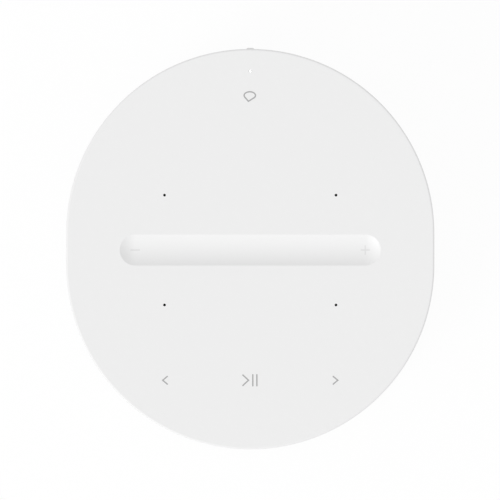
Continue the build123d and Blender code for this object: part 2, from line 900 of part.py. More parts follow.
# Ribbon: a flat flex from the touch board down to its connector on the main board
connector_z = main_board_top - ribbon_connector_height / 2
touch_board_bottom = top_plate_bottom - board_thickness
ribbon_y = board_rear_y + ribbon_connector_depth / 2
with BuildPart() as ribbon_connector:
    with BuildSketch(across(board_rear_y + ribbon_connector_depth)):
        with Locations((0, connector_z)):
            Rectangle(ribbon_connector_width, ribbon_connector_height)
    extrude(amount=ribbon_connector_depth)
write(ribbon_connector, "ribbon_connector")

with BuildPart() as touch_ribbon:
    with BuildSketch(Plane.XY.offset(main_board_top)):
        with Locations((0, ribbon_y)):
            Rectangle(ribbon_width, ribbon_thickness)
    extrude(amount=touch_board_bottom - main_board_top)
write(touch_ribbon, "touch_ribbon")

# Antennas: two flat plates stuck to the sides of the tweeter housing
with BuildPart() as wifi_antennas:
    for sign in (-1, 1):
        with BuildSketch(Plane.YZ.offset(sign * housing_outer_x)):
            with Locations((0, tweeter_z)):
                RectangleRounded(antenna_length, antenna_height, antenna_corner)
                Rectangle(antenna_slot_length, antenna_slot_height, mode=Mode.SUBTRACT)
        extrude(amount=sign * antenna_thickness)
write(wifi_antennas, "wifi_antennas")


def skin_plane(along, z):
    """A plane on the skin, facing outward, at a distance round it from the middle of the front."""
    reach = abs(along)
    slide = min(max(reach - pi * width / 4, 0), straight_length)
    turn = 2 * (reach - slide) / width
    outward = Vector(copysign(sin(turn), along), -cos(turn), 0)
    arc_centre = Vector(0, slide - arc_centre_y, z)
    return Plane(origin=arc_centre + outward * (width / 2), z_dir=outward)


def drilled_planes():
    """Planes at the grille's drilled holes, whose odd rows shift by half a step."""
    run = hole_stride * hole_step
    half_rows = hole_rows // (2 * hole_stride)
    half_columns = hole_columns // (2 * hole_stride)
    planes = []
    for row in range(-half_rows, half_rows + 1):
        z = grille_middle_z + row * hole_stride * hole_row_step
        places = [(column + (row % 2) / 2) * run for column in range(-half_columns, half_columns + 1)]
        planes += [skin_plane(along, z) for along in places if abs(along) < skin_half_length - hole_margin]
    return planes


# Grille: the wrap-round skin, open at the back for the spine and drilled all over
with BuildPart() as grille:
    with BuildSketch(Plane.XY.offset(grille_bottom)):
        oval(0)
        oval(grille_wall, mode=Mode.SUBTRACT)
        with Locations((0, rear_y)):
            Rectangle(2 * grille_edge_x, depth, mode=Mode.SUBTRACT)
    extrude(amount=grille_top - grille_bottom)
    with Locations(*drilled_planes()):
        Cylinder(hole_radius, 4 * grille_wall, mode=Mode.SUBTRACT)
# The curves on the faces follow from the edges, and without them the file of so many holes is less than half
write(grille, "grille", surface_curves=False)

# Rear spine: the solid back panel with the control and socket recesses
slot_width = knob_width + 2 * knob_fit
slot_height = knob_height + knob_travel + 2 * knob_fit
slot_z = switch_z - knob_travel / 2
button_hole_radius = button_radius + button_fit
collar_bore = button_radius + button_flange + button_fit
collar_outer = collar_bore + collar_wall
carriage_height = slot_height + knob_travel + 2 * carriage_margin
button_z = switch_z - carriage_height / 2 - knob_travel - control_gap - collar_outer
pad_top = switch_z + carriage_height / 2 + collar_wall
pad_bottom = button_z - collar_outer - collar_wall
usb_slot_width = usb_width + 2 * usb_fit
usb_slot_height = usb_height + 2 * usb_fit
io_board_top = switch_z + io_boss_radius + control_gap
io_board_bottom = usb_z - usb_pocket_height
io_boss_points = [
    (sx * io_boss_x, z)
    for sx in (-1, 1)
    for z in (switch_z, (pad_bottom + usb_z) / 2)
]
with BuildPart() as rear_spine:
    with BuildSketch(across(rear_y)):
        with Locations((0, (pad_top + pad_bottom) / 2)):
            Rectangle(control_pad_width, pad_top - pad_bottom)
    extrude(amount=control_pad_sink)
    with BuildSketch(across(rear_y)):
        with Locations((0, usb_z)):
            SlotOverall(usb_pocket_width + 2 * port_rim, usb_pocket_height + 2 * port_rim)
        with Locations((0, inlet_z)):
            SlotOverall(inlet_pocket_width + 2 * port_rim, inlet_pocket_height + 2 * port_rim)
    extrude(amount=port_recess + port_pad)
    with BuildSketch(across(rear_y)):
        with Locations(*io_boss_points):
            Circle(io_boss_radius)
    extrude(amount=rear_y - io_board_rear_y)
    with BuildSketch(across(rear_y)):
        with Locations((0, button_z)):
            Circle(collar_outer)
    extrude(amount=control_pad_sink + collar_length)
    with BuildSketch():
        oval(0)
    extrude(amount=height, mode=Mode.INTERSECT)
    with BuildSketch(Plane.XY.offset(grille_bottom)):
        oval(0)
        oval(rear_wall, mode=Mode.SUBTRACT)
        with Locations((0, rear_y)):
            Rectangle(spine_width, depth, mode=Mode.INTERSECT)
    extrude(amount=grille_top - grille_bottom)
    with BuildSketch(across(rear_y)):
        with Locations((0, usb_z)):
            SlotOverall(usb_pocket_width, usb_pocket_height)
        with Locations((0, inlet_z)):
            SlotOverall(inlet_pocket_width, inlet_pocket_height)
    extrude(amount=port_recess, mode=Mode.SUBTRACT)
    with BuildSketch(across(rear_y)):
        with Locations((0, usb_z)):
            SlotOverall(usb_slot_width, usb_slot_height)
        with Locations((0, inlet_z)):
            SlotOverall(inlet_width + 2 * inlet_fit, inlet_height + 2 * inlet_fit)
        with Locations((0, slot_z)):
            SlotOverall(slot_height, slot_width, rotation=90)
        with Locations((0, button_z)):
            Circle(button_hole_radius)
    extrude(amount=port_recess + port_pad, mode=Mode.SUBTRACT)
    with BuildSketch(across(control_inner_y)):
        with Locations((0, button_z)):
            Circle(collar_bore)
    extrude(amount=collar_length, mode=Mode.SUBTRACT)
    with BuildSketch(across(io_board_rear_y)):
        with Locations(*io_boss_points):
            Circle(pilot_radius)
    extrude(amount=-screw_bite - screw_fit, mode=Mode.SUBTRACT)
write(rear_spine, "rear_spine")

# Control board behind the spine, with its screws
with BuildPart() as io_board:
    with BuildSketch(across(io_board_rear_y)):
        with Locations((0, (io_board_top + io_board_bottom) / 2)):
            Rectangle(io_board_width, io_board_top - io_board_bottom)
        with Locations(*io_boss_points):
            Circle(screw_hole_radius, mode=Mode.SUBTRACT)
    extrude(amount=board_thickness)
write(io_board, "io_board")

io_screws = screw_group([across(io_board_front_y)], io_boss_points, board_thickness + screw_bite)
write(io_screws, "io_board_screws")

# Pairing button: a dished round cap with a flange behind the spine and a stem to the switch plunger
plunger_tip_y = io_board_rear_y + switch_height + plunger_proud
plunger_back_y = io_board_rear_y + switch_height / 2
dish_radius = button_radius - button_sink - button_rim
dish_ball = (dish_radius**2 + button_dish**2) / (2 * button_dish)
with BuildPart() as pairing_button:
    with BuildSketch(across(rear_y - button_sink)):
        with Locations((0, button_z)):
            Circle(button_radius)
    extrude(amount=control_pad_sink - button_sink + button_flange_height)
    chamfer(pairing_button.edges().group_by(Axis.Y)[-1], button_sink)
    with Locations((0, rear_y - button_sink - button_dish + dish_ball, button_z)):
        Sphere(dish_ball, mode=Mode.SUBTRACT)
    with BuildSketch(across(control_inner_y - screw_fit)):
        with Locations((0, button_z)):
            Circle(button_radius + button_flange)
    extrude(amount=button_flange_height)
    with BuildSketch(across(control_inner_y - screw_fit)):
        with Locations((0, button_z)):
            Circle(stem_radius)
    extrude(amount=control_inner_y - screw_fit - plunger_tip_y)
write(pairing_button, "pairing_button")

with BuildPart() as tact_plunger:
    with BuildSketch(across(plunger_tip_y)):
        with Locations((0, button_z)):
            Circle(plunger_radius)
    extrude(amount=plunger_tip_y - plunger_back_y)
write(tact_plunger, "tact_plunger")

with BuildPart() as tact_switch:
    with BuildSketch(across(io_board_rear_y + switch_height)):
        with Locations((0, button_z)):
            Rectangle(tact_size, tact_size)
    extrude(amount=switch_height)
    with BuildSketch(across(io_board_rear_y + switch_height)):
        with Locations((0, button_z)):
            Circle(plunger_radius + plunger_clearance)
    extrude(amount=switch_height / 2 + button_travel + plunger_clearance, mode=Mode.SUBTRACT)
write(tact_switch, "tact_switch")

# Microphone switch: a knob in the spine's slot on a carriage, forked over the slide switch's lever
lever_back_y = io_board_rear_y + switch_height / 2
lever_tip_y = lever_back_y + lever_length
carriage_front_y = control_inner_y - screw_fit
carriage_back_y = carriage_front_y - carriage_thickness
fork_tip_y = io_board_rear_y + switch_height + plunger_clearance + fork_wall
fork_bore = lever_size + 2 * lever_clearance
with BuildPart() as mic_switch_knob:
    with BuildSketch(across(rear_y + knob_proud)):
        with Locations((0, switch_z)):
            SlotOverall(knob_height, knob_width, rotation=90)
    extrude(amount=knob_proud + control_pad_sink + carriage_thickness)
    fillet(mic_switch_knob.edges().group_by(Axis.Y)[-1], knob_proud)
    with BuildSketch(Plane.YZ.offset(-knob_width / 2)):
        with Locations((rear_y + knob_proud, switch_z)):
            with GridLocations(0, knob_groove_pitch, 1, knob_grooves):
                Circle(knob_groove_radius)
    extrude(amount=knob_width, mode=Mode.SUBTRACT)
    with BuildSketch(across(carriage_front_y)):
        with Locations((0, switch_z)):
            Rectangle(carriage_width, carriage_height)
    extrude(amount=carriage_thickness)
    with BuildSketch(across(carriage_back_y)):
        with Locations((0, switch_z)):
            Rectangle(fork_bore + 2 * fork_wall, fork_bore + 2 * fork_wall)
            Rectangle(fork_bore, fork_bore, mode=Mode.SUBTRACT)
    extrude(amount=carriage_back_y - fork_tip_y)
write(mic_switch_knob, "mic_switch_knob")

with BuildPart() as slide_lever:
    with BuildSketch(across(lever_tip_y)):
        with Locations((0, switch_z)):
            Rectangle(lever_size, lever_size)
    extrude(amount=lever_tip_y - lever_back_y)
write(slide_lever, "slide_lever")

lever_slot_height = lever_size + knob_travel + 2 * lever_clearance
with BuildPart() as slide_switch:
    with BuildSketch(across(io_board_rear_y + switch_height)):
        with Locations((0, slot_z)):
            Rectangle(tact_size, lever_slot_height + 2 * collar_wall)
            Rectangle(fork_bore, lever_slot_height, mode=Mode.SUBTRACT)
    extrude(amount=switch_height / 2 + lever_clearance)
    with BuildSketch(across(io_board_rear_y + switch_height / 2 - lever_clearance)):
        with Locations((0, slot_z)):
            Rectangle(tact_size, lever_slot_height + 2 * collar_wall)
    extrude(amount=switch_height / 2 - lever_clearance)
write(slide_switch, "slide_switch")

# USB socket: a steel shell soldered to the control board, with its contact tongue
usb_front_y = port_floor_y - usb_fit
with BuildPart() as usb_shell:
    with BuildSketch(across(usb_front_y)):
        with Locations((0, usb_z)):
            SlotOverall(usb_width, usb_height)
    extrude(amount=usb_front_y - io_board_rear_y)
    with BuildSketch(across(usb_front_y)):
        with Locations((0, usb_z)):
            SlotOverall(usb_width - 2 * usb_wall, usb_height - 2 * usb_wall)
    extrude(amount=usb_front_y - io_board_rear_y - usb_wall, mode=Mode.SUBTRACT)
write(usb_shell, "usb_shell")

with BuildPart() as usb_tongue:
    with BuildSketch(across(usb_front_y - usb_tongue_back)):
        with Locations((0, usb_z)):
            Rectangle(usb_tongue_width, usb_tongue_thickness)
    extrude(amount=usb_front_y - usb_tongue_back - io_board_rear_y - usb_wall)
write(usb_tongue, "usb_tongue")

# Mains inlet: a two-pin socket that seats against the back of its recess
with BuildPart() as mains_inlet:
    with BuildSketch(across(port_floor_y)):
        with Locations((0, inlet_z)):
            SlotOverall(inlet_width, inlet_height)
    extrude(amount=inlet_depth + inlet_back)
    with BuildSketch(across(port_inner_y)):
        with Locations((0, inlet_z)):
            RectangleRounded(inlet_flange_width, inlet_flange_height, port_rim)
    extrude(amount=inlet_flange_thickness)
    with BuildSketch(across(port_floor_y)):
        with Locations((0, inlet_z)):
            SlotOverall(inlet_width - 2 * inlet_wall, inlet_height - 2 * inlet_wall)
    extrude(amount=inlet_depth, mode=Mode.SUBTRACT)
    with BuildSketch(across(port_floor_y)):
        with Locations((0, inlet_z)):
            with GridLocations(pin_spacing, 1, 2, 1):
                Circle(pin_radius + pin_fit)
    extrude(amount=inlet_depth + inlet_back, mode=Mode.SUBTRACT)
write(mains_inlet, "mains_inlet")

with BuildPart() as inlet_pins:
    with BuildSketch(across(port_floor_y - pin_sink)):
        with Locations((0, inlet_z)):
            with GridLocations(pin_spacing, 1, 2, 1):
                Circle(pin_radius)
    extrude(amount=inlet_depth + inlet_back + pin_tail - pin_sink)
    fillet(inlet_pins.edges().group_by(Axis.Y)[-1], pin_radius / 2)
write(inlet_pins, "inlet_pins")

# Top frame: the ring that closes the grille and carries the touch panel
top_screw_radius = width / 2 - top_screw_inset
top_screw_points = [
    (sx * top_screw_radius * cos(radians(45)), sy * (arc_centre_y + top_screw_radius * sin(radians(45))))
    for sx in (-1, 1)
    for sy in (-1, 1)
]
frame_inner_inset = lip_inset + frame_ring_width
with BuildPart() as top_frame:
    with BuildSketch(Plane.XY.offset(frame_bottom)):
        oval(lip_inset)
        oval(frame_inner_inset, mode=Mode.SUBTRACT)
    extrude(amount=frame_ring_height)
    with BuildSketch(Plane.XY.offset(grille_top)):
        oval(reveal_inset)
        oval(frame_inner_inset, mode=Mode.SUBTRACT)
    extrude(amount=reveal)
    with BuildSketch(Plane.XY.offset(frame_bottom)):
        with Locations(*top_screw_points):
            Circle(screw_hole_radius)
    extrude(amount=frame_ring_height + reveal, mode=Mode.SUBTRACT)
write(top_frame, "top_frame")

top_screws = screw_group(
    [Plane.XY.offset(frame_bottom).rotated((180, 0, 0))],
    [(x, -y) for x, y in top_screw_points],
    top_plate_bottom - frame_bottom - top_screw_slack,
)
write(top_screws, "top_screws")

# Top panel: the touch surface with its dished volume trough, microphone holes and light hole
trough_radius = (trough_width**2 / 4 + trough_depth**2) / (2 * trough_depth)
trough_centre_z = height - trough_depth + trough_radius
trough_straight = trough_length - trough_width
mic_points = corners(mic_spacing_x / 2, mic_spacing_y / 2, trough_y)
with BuildPart() as top_panel:
    with BuildSketch(Plane.XY.offset(top_panel_bottom)):
        oval(0)
    extrude(amount=top_panel_height)
    fillet(top_panel.edges().group_by(Axis.Z)[-1], edge_softening)
    with BuildSketch(Plane.XY.offset(top_panel_bottom)):
        oval(top_skirt)
    extrude(amount=top_panel_height - top_plate, mode=Mode.SUBTRACT)
    with BuildSketch(Plane.XY.offset(top_panel_bottom)):
        with Locations(*top_screw_points):
            Circle(top_boss_radius)
    extrude(amount=top_panel_height - top_plate)
    with BuildSketch(Plane.XY.offset(top_panel_bottom)):
        with Locations(*top_screw_points):
            Circle(pilot_radius)
    extrude(amount=top_panel_height - top_plate, mode=Mode.SUBTRACT)
    with Locations((0, trough_y, trough_centre_z)):
        Cylinder(trough_radius, trough_straight, rotation=(0, 90, 0), mode=Mode.SUBTRACT)
    with Locations(*[(sx * trough_straight / 2, trough_y, trough_centre_z) for sx in (-1, 1)]):
        Sphere(trough_radius, mode=Mode.SUBTRACT)
    with BuildSketch(Plane.XY.offset(height)):
        with Locations(*mic_points):
            Circle(mic_hole_radius)
        with Locations((0, light_y)):
            Circle(light_hole_radius)
    extrude(amount=-top_plate, mode=Mode.SUBTRACT)
write(top_panel, "top_panel")

# Touch board bonded under the panel, with the microphones below it and the light pipe above
with BuildPart() as touch_board:
    with BuildSketch(Plane.XY.offset(touch_board_bottom)):
        oval(touch_board_inset)
        with Locations((0, light_y - light_tab_size / 4)):
            Rectangle(light_tab_size, light_tab_size)
        with Locations(*mic_points):
            Circle(mic_hole_radius, mode=Mode.SUBTRACT)
    extrude(amount=board_thickness)
write(touch_board, "touch_board")

with BuildPart() as microphones:
    with BuildSketch(Plane.XY.offset(touch_board_bottom)):
        with Locations(*mic_points):
            Rectangle(microphone_size, microphone_size)
    extrude(amount=-microphone_height)
write(microphones, "microphones")

with BuildPart() as light_pipe:
    with BuildSketch(Plane.XY.offset(top_plate_bottom)):
        with Locations((0, light_y)):
            Circle(light_pipe_radius)
    extrude(amount=top_plate - screw_fit)
write(light_pipe, "light_pipe")
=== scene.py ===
"""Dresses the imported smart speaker: a dished touch top, a drilled grille, a rear spine and a foot.

Lengths are written in millimetres and turned to metres where a mesh is made. +Z is up and the front faces -Y.
"""

import logging
import math
from dataclasses import dataclass, field
from enum import Enum
from typing import Any, Callable, Sequence

import bpy
import numpy as np
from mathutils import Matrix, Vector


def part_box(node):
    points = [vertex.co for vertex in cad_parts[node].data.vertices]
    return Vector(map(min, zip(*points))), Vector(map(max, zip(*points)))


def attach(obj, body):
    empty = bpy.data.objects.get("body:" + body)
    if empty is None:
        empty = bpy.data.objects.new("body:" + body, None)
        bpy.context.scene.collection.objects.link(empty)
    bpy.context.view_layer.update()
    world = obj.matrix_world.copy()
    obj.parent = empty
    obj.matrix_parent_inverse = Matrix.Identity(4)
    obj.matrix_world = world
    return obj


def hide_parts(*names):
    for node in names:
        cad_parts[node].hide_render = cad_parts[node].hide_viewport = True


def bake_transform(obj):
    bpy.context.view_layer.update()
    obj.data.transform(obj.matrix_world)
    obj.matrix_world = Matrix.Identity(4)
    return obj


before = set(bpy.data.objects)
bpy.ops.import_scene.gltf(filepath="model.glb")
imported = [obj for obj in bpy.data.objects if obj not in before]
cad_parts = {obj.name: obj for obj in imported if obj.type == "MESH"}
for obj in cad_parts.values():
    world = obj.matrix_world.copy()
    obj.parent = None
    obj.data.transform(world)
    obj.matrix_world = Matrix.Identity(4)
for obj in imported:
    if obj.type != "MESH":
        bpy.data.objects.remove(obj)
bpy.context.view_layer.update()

MM = 0.001
# Points closer than this, in millimetres, are one
WELD = 1e-4
# How deep a printed stroke is, how long its mitres may be in half widths, and where its points lie across it
INK_DEPTH, MITRE_LIMIT = 0.05, 2.0
ACROSS = np.array([1, 0.5, 0, -0.5, -1])
# Sides of a small round hole
HOLE_SIDES = 24
# A wave texture of scale 1 repeats after pi / 10
WAVE = math.pi / 10
# How far turning marks wander from true rings
WANDER = 0.4
# Brushing shrinks the grain's scale along Y to this share, which draws it out
STREAK = 0.03
# How much of a noise passes to each finer layer
NOISE_FALL = 0.6
# How far the roughness drifts with the relief, and the least that it may be
SHINE_DRIFT, SHINE_LEAST = 0.05, 0.02
# A board's tracks: their pitch in grains, and how far from a cell's middle they start
TRACK_GRAINS, TRACK_START = 6, 0.42
LOG = logging.getLogger("smart_speaker")
Array = np.ndarray


def millimetres(node: str) -> tuple[Array, Array]:
    """Gives a CAD node's box.

    Args:
        node: The node's name.

    Returns:
        Its lowest and highest corners, in millimetres.
    """
    low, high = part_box(node)
    return np.array(low) / MM, np.array(high) / MM


def linear(colour: str) -> tuple[float, float, float, float]:
    """Turns an sRGB hex colour to linear light.

    Args:
        colour: Six hex digits after a hash sign.

    Returns:
        Red, green, blue and an alpha of 1.
    """
    encoded = np.array([int(colour[i:i + 2], 16) for i in (1, 3, 5)]) / 255
    light = np.where(encoded <= 0.04045, encoded / 12.92, ((encoded + 0.055) / 1.055) ** 2.4)
    return (*light.tolist(), 1.0)


def add_node(tree: bpy.types.NodeTree, kind: str, settings: dict[str, Any] | None = None,
             **inputs: Any) -> bpy.types.Node:
    """Adds one node with its settings, and sets or links its inputs.

    Args:
        tree: The node tree that gets the node.
        kind: The node's type name in Blender.
        settings: Properties of the node itself.
        **inputs: Values or output sockets, by the input's name with underscores for spaces, or by an
            underscore and its number where inputs share a name.

    Returns:
        The new node.
    """
    node = tree.nodes.new(kind)
    for key, value in (settings or {}).items():
        setattr(node, key, value)
    for key, value in inputs.items():
        name = key.replace("_", " ")
        socket = node.inputs[int(key[1:])] if key[1:].isdigit() else node.inputs[name]
        if isinstance(value, bpy.types.NodeSocket):
            tree.links.new(value, socket)
        else:
            socket.default_value = value
    return node


def empty_tree(owner: bpy.types.Material | bpy.types.World) -> bpy.types.NodeTree:
    """Gives a material or a world a node tree with nothing in it.

    Args:
        owner: The material or world.

    Returns:
        Its node tree.
    """
    owner.use_nodes = True
    owner.node_tree.nodes.clear()
    return owner.node_tree


class Pattern(Enum):
    """How a surface was made, which decides the fine relief that the eye sees on it."""

    MOULDED = "moulded"
    SPRAYED = "sprayed"
    BRUSHED = "brushed"
    TURNED = "turned"
    WOVEN = "woven"
    FIBROUS = "fibrous"
    PRINTED_BOARD = "printed board"


# How many finer layers the noise of a pattern has
NOISE_LAYERS = {Pattern.MOULDED: 3.0, Pattern.SPRAYED: 1.0, Pattern.FIBROUS: 6.0}
OTHER_LAYERS = 2.0


@dataclass(frozen=True)
class Finish:
    """One real material and how its surface was made.

    The relief is a noise of one grain size in millimetres, stretched or ringed as the pattern says, and the
    mottle is how far the colour drifts from its mean.
    """

    name: str
    colour: str
    roughness: float
    pattern: Pattern = Pattern.MOULDED
    grain: float = 0.4
    relief: float = 0.006
    mottle: float = 0.03
    metallic: float = 0.0
    ior: float = 1.5
    coat: float = 0.0
    sheen: float = 0.0
    glow: float = 0.0
    second: str = ""

    def material(self) -> bpy.types.Material:
        """Builds the material once and gives it to every piece with this finish.

        Returns:
            The material.
        """
        known = bpy.data.materials.get(self.name)
        if known:
            return known
        made = bpy.data.materials.new(self.name)
        tree = empty_tree(made)
        place = add_node(tree, "ShaderNodeTexCoord").outputs["Object"]
        height = self.height(tree, place)
        colour = self.tint(tree, place, height)
        shine = add_node(tree, "ShaderNodeMapRange", None, Value=height,
                         To_Min=max(self.roughness - SHINE_DRIFT, SHINE_LEAST),
                         To_Max=min(self.roughness + SHINE_DRIFT, 1.0))
        bump = add_node(tree, "ShaderNodeBump", None, Height=height, Strength=1.0, Distance=self.relief * MM)
        shader = add_node(tree, "ShaderNodeBsdfPrincipled", None, Base_Color=colour,
                          Roughness=shine.outputs[0], Metallic=self.metallic, Normal=bump.outputs[0],
                          Coat_Weight=self.coat, Sheen_Weight=self.sheen,
                          Emission_Color=linear(self.colour), Emission_Strength=self.glow)
        if not self.metallic:
            shader.inputs["IOR"].default_value = self.ior
        add_node(tree, "ShaderNodeOutputMaterial", None, Surface=shader.outputs[0])
        return made

    def height(self, tree: bpy.types.NodeTree, place: bpy.types.NodeSocket) -> bpy.types.NodeSocket:
        """Adds the relief's height field, from 0 to 1.

        Turned metal has rings, cloth the higher of two crossed waves, and the rest a noise, which brushing
        draws out along Y.

        Args:
            tree: The material's node tree.
            place: Object coordinates, in metres.

        Returns:
            The socket that holds the height.
        """
        per_metre = 1 / (self.grain * MM)
        if self.pattern is Pattern.BRUSHED:
            stretched = add_node(tree, "ShaderNodeMapping", None, Vector=place, Scale=(1, STREAK, 1))
            place = stretched.outputs[0]
        if self.pattern is Pattern.TURNED:
            rings = add_node(tree, "ShaderNodeTexWave", {"wave_type": "RINGS", "rings_direction": "Z"},
                             Vector=place, Scale=per_metre * WAVE, Distortion=WANDER)
            return rings.outputs["Fac"]
        if self.pattern is Pattern.WOVEN:
            waves = [add_node(tree, "ShaderNodeTexWave", {"bands_direction": axis}, Vector=place,
                              Scale=per_metre * WAVE).outputs["Fac"] for axis in ("X", "Z")]
            upper = add_node(tree, "ShaderNodeMath", {"operation": "MAXIMUM"}, _0=waves[0], _1=waves[1])
            return upper.outputs[0]
        noise = add_node(tree, "ShaderNodeTexNoise", None, Vector=place, Scale=per_metre,
                         Detail=NOISE_LAYERS.get(self.pattern, OTHER_LAYERS), Roughness=NOISE_FALL)
        return noise.outputs["Fac"]

    def tint(self, tree: bpy.types.NodeTree, place: bpy.types.NodeSocket,
             height: bpy.types.NodeSocket) -> bpy.types.NodeSocket:
        """Adds the colour, which drifts by the mottle about its mean, and a board's copper under its mask.

        Args:
            tree: The material's node tree.
            place: Object coordinates, in metres.
            height: The relief's height field.

        Returns:
            The socket that holds the colour.
        """
        mean = np.array(linear(self.colour)[:3])
        low, high = ((*np.clip(mean * drift, 0, 1).tolist(), 1.0)
                     for drift in (1 - self.mottle, 1 + self.mottle))
        if self.pattern is Pattern.PRINTED_BOARD:
            cells = add_node(tree, "ShaderNodeTexVoronoi", {"distance": "CHEBYCHEV"}, Vector=place,
                             Scale=1 / (TRACK_GRAINS * self.grain * MM))
            tracks = add_node(tree, "ShaderNodeMath", {"operation": "GREATER_THAN"},
                              _0=cells.outputs["Distance"], _1=TRACK_START)
            low, high, height = linear(self.colour), linear(self.second), tracks.outputs[0]
        mix = add_node(tree, "ShaderNodeMix", {"data_type": "RGBA"}, _0=height, _6=low, _7=high)
        return mix.outputs[2]


# White ABS from a stoned mould: even and satin, with a grain that only a close look finds
WHITE_ABS = Finish("white_abs_satin_moulded", "#ededed", 0.5, grain=0.35, relief=0.004, mottle=0.006)
# The same ABS from a spark-eroded mould: a dry pebble grain, drawn about twice too coarse so that it shows
GRAINED_ABS = Finish("white_abs_spark_eroded", "#ebebeb", 0.62, grain=0.6, relief=0.03, mottle=0.02)
# The same white sprayed as powder on steel: a soft orange peel and a little more shine at a low angle
WHITE_POWDER = Finish("white_powder_coat_on_steel", "#ebebeb", 0.48, Pattern.SPRAYED, grain=0.9, relief=0.03,
                      mottle=0.012)
# Grey pad-printing ink: flat and slightly duller than the panel round it
GREY_INK = Finish("grey_printed_ink", "#a9a9a9", 0.65, grain=0.2, relief=0.002, mottle=0.03)
# The same ink laid thin, so that the panel shows through it
FAINT_INK = Finish("grey_printed_ink_thin", "#e1e1e1", 0.65, grain=0.2, relief=0.002, mottle=0.02)
# Black ABS, moulded smooth, for everything meant to be lost in shadow
BLACK_ABS = Finish("black_abs_moulded", "#161616", 0.6, grain=0.5, relief=0.006, mottle=0.15)
# Black woven polyester cloth just inside the microphone holes: painted shade, which gives back almost no
# light so that each hole reads as a dark dot
SHADE_BLACK_CLOTH = Finish("black_cloth_painted_shade", "#060606", 0.95, Pattern.WOVEN, grain=0.15, relief=0.01,
                     mottle=0.2)
# Light grey silicone, cast: soft, dull and faintly dusty
SILICONE = Finish("grey_silicone_cast", "#b9b9b7", 0.8, grain=0.8, relief=0.008, mottle=0.05, ior=1.41,
                  sheen=0.15)
# Opal polycarbonate over a lit diode: an even white glow
OPAL = Finish("opal_polycarbonate_lit", "#fafafa", 0.35, grain=0.3, relief=0.001, mottle=0.02, ior=1.58,
              glow=0.6)
# Black nitrile rubber, moulded: darker and softer than the plastics
RUBBER = Finish("black_nitrile_moulded", "#111111", 0.75, grain=0.6, relief=0.01, mottle=0.2, ior=1.52)
# Zinc-plated steel, drawn: a cool grey with fine streaks
STEEL = Finish("zinc_plated_steel_drawn", "#b4b6b8", 0.32, Pattern.BRUSHED, grain=0.3, relief=0.003,
               mottle=0.08, metallic=1.0)
# Turned brass: warm yellow with tool rings
BRASS = Finish("brass_turned", "#c8a557", 0.28, Pattern.TURNED, grain=0.4, relief=0.004, mottle=0.08,
               metallic=1.0)
# Drawn brass rod: the same yellow with streaks along its length
BRASS_ROD = Finish("brass_rod_drawn", "#c8a557", 0.25, Pattern.BRUSHED, grain=0.2, relief=0.003, mottle=0.06,
                   metallic=1.0)
# Anodised aluminium, extruded: pale grey, satin
ALUMINIUM = Finish("anodised_aluminium_extruded", "#c6c8ca", 0.38, Pattern.BRUSHED, grain=0.4, relief=0.003,
                   mottle=0.06, metallic=1.0)
# Ground ferrite: near black with a dull stone grain
FERRITE = Finish("ground_ferrite", "#2b2a2a", 0.7, grain=0.5, relief=0.02, mottle=0.25)
# Green solder mask over copper on glass epoxy: tracks read as a paler green
SOLDER_MASK = Finish("green_solder_mask_on_glass_epoxy", "#0f4a2a", 0.35, Pattern.PRINTED_BOARD, grain=0.4,
                     relief=0.01, second="#1c6b3e", coat=0.3)
# Pressed paper pulp, dyed black: long fibres catch the light
PAPER = Finish("black_paper_pulp_pressed", "#232323", 0.85, Pattern.FIBROUS, grain=0.6, relief=0.03,
               mottle=0.3)
# Coated silk: a tight weave with a low sheen
SILK = Finish("coated_silk_woven", "#2a2928", 0.6, Pattern.WOVEN, grain=0.3, relief=0.01, mottle=0.15,
              sheen=0.3)
# Enamelled copper wire, wound: reddish and glossy
COPPER = Finish("enamelled_copper_wound", "#b06a3c", 0.3, Pattern.BRUSHED, grain=0.3, relief=0.01, mottle=0.1,
                metallic=1.0)
# Grey nylon, moulded, for connectors and levers
GREY_NYLON = Finish("grey_nylon_moulded", "#8d8d8b", 0.5, grain=0.5, relief=0.005, mottle=0.06, ior=1.53)
# Amber polyimide film with printed tracks
POLYIMIDE = Finish("amber_polyimide_film", "#b98a3a", 0.3, Pattern.BRUSHED, grain=0.8, relief=0.002,
                   mottle=0.12)

NODE_FINISHES: dict[Finish, Sequence[str]] = {
    WHITE_ABS: ("pairing_button", "mic_switch_knob", "top_panel"),
    GRAINED_ABS: ("rear_spine", "base_cover"),
    WHITE_POWDER: ("grille",),
    SILICONE: ("foot_ring",),
    OPAL: ("light_pipe",),
    BRASS: ("stand_insert",),
    BRASS_ROD: ("inlet_pins",),
    STEEL: ("usb_shell", "shield_can", "woofer_top_plate", "woofer_yoke", "woofer_basket",
            "tweeter_motor_left", "tweeter_motor_right", "base_screws", "housing_screws", "woofer_screws",
            "tweeter_screws", "power_board_screws", "main_board_screws", "io_board_screws", "top_screws"),
    ALUMINIUM: ("amplifier_heatsink",),
    FERRITE: ("woofer_magnet",),
    SOLDER_MASK: ("power_board", "main_board", "io_board", "touch_board", "wifi_antennas"),
    RUBBER: ("woofer_surround", "enclosure_gasket"),
    PAPER: ("woofer_cone", "dust_cap"),
    COPPER: ("voice_coil",),
    SILK: ("tweeter_dome_left", "tweeter_dome_right", "woofer_spider"),
    GREY_NYLON: ("slide_lever", "tact_plunger", "ribbon_connector"),
    POLYIMIDE: ("touch_ribbon",),
}


def place_object(name: str, data: bpy.types.ID) -> bpy.types.Object:
    """Puts a mesh, a light or a camera into the scene, at the origin.

    Args:
        name: The object's name.
        data: What it shows.

    Returns:
        The object.
    """
    made = bpy.data.objects.new(name, data)
    bpy.context.collection.objects.link(made)
    return made


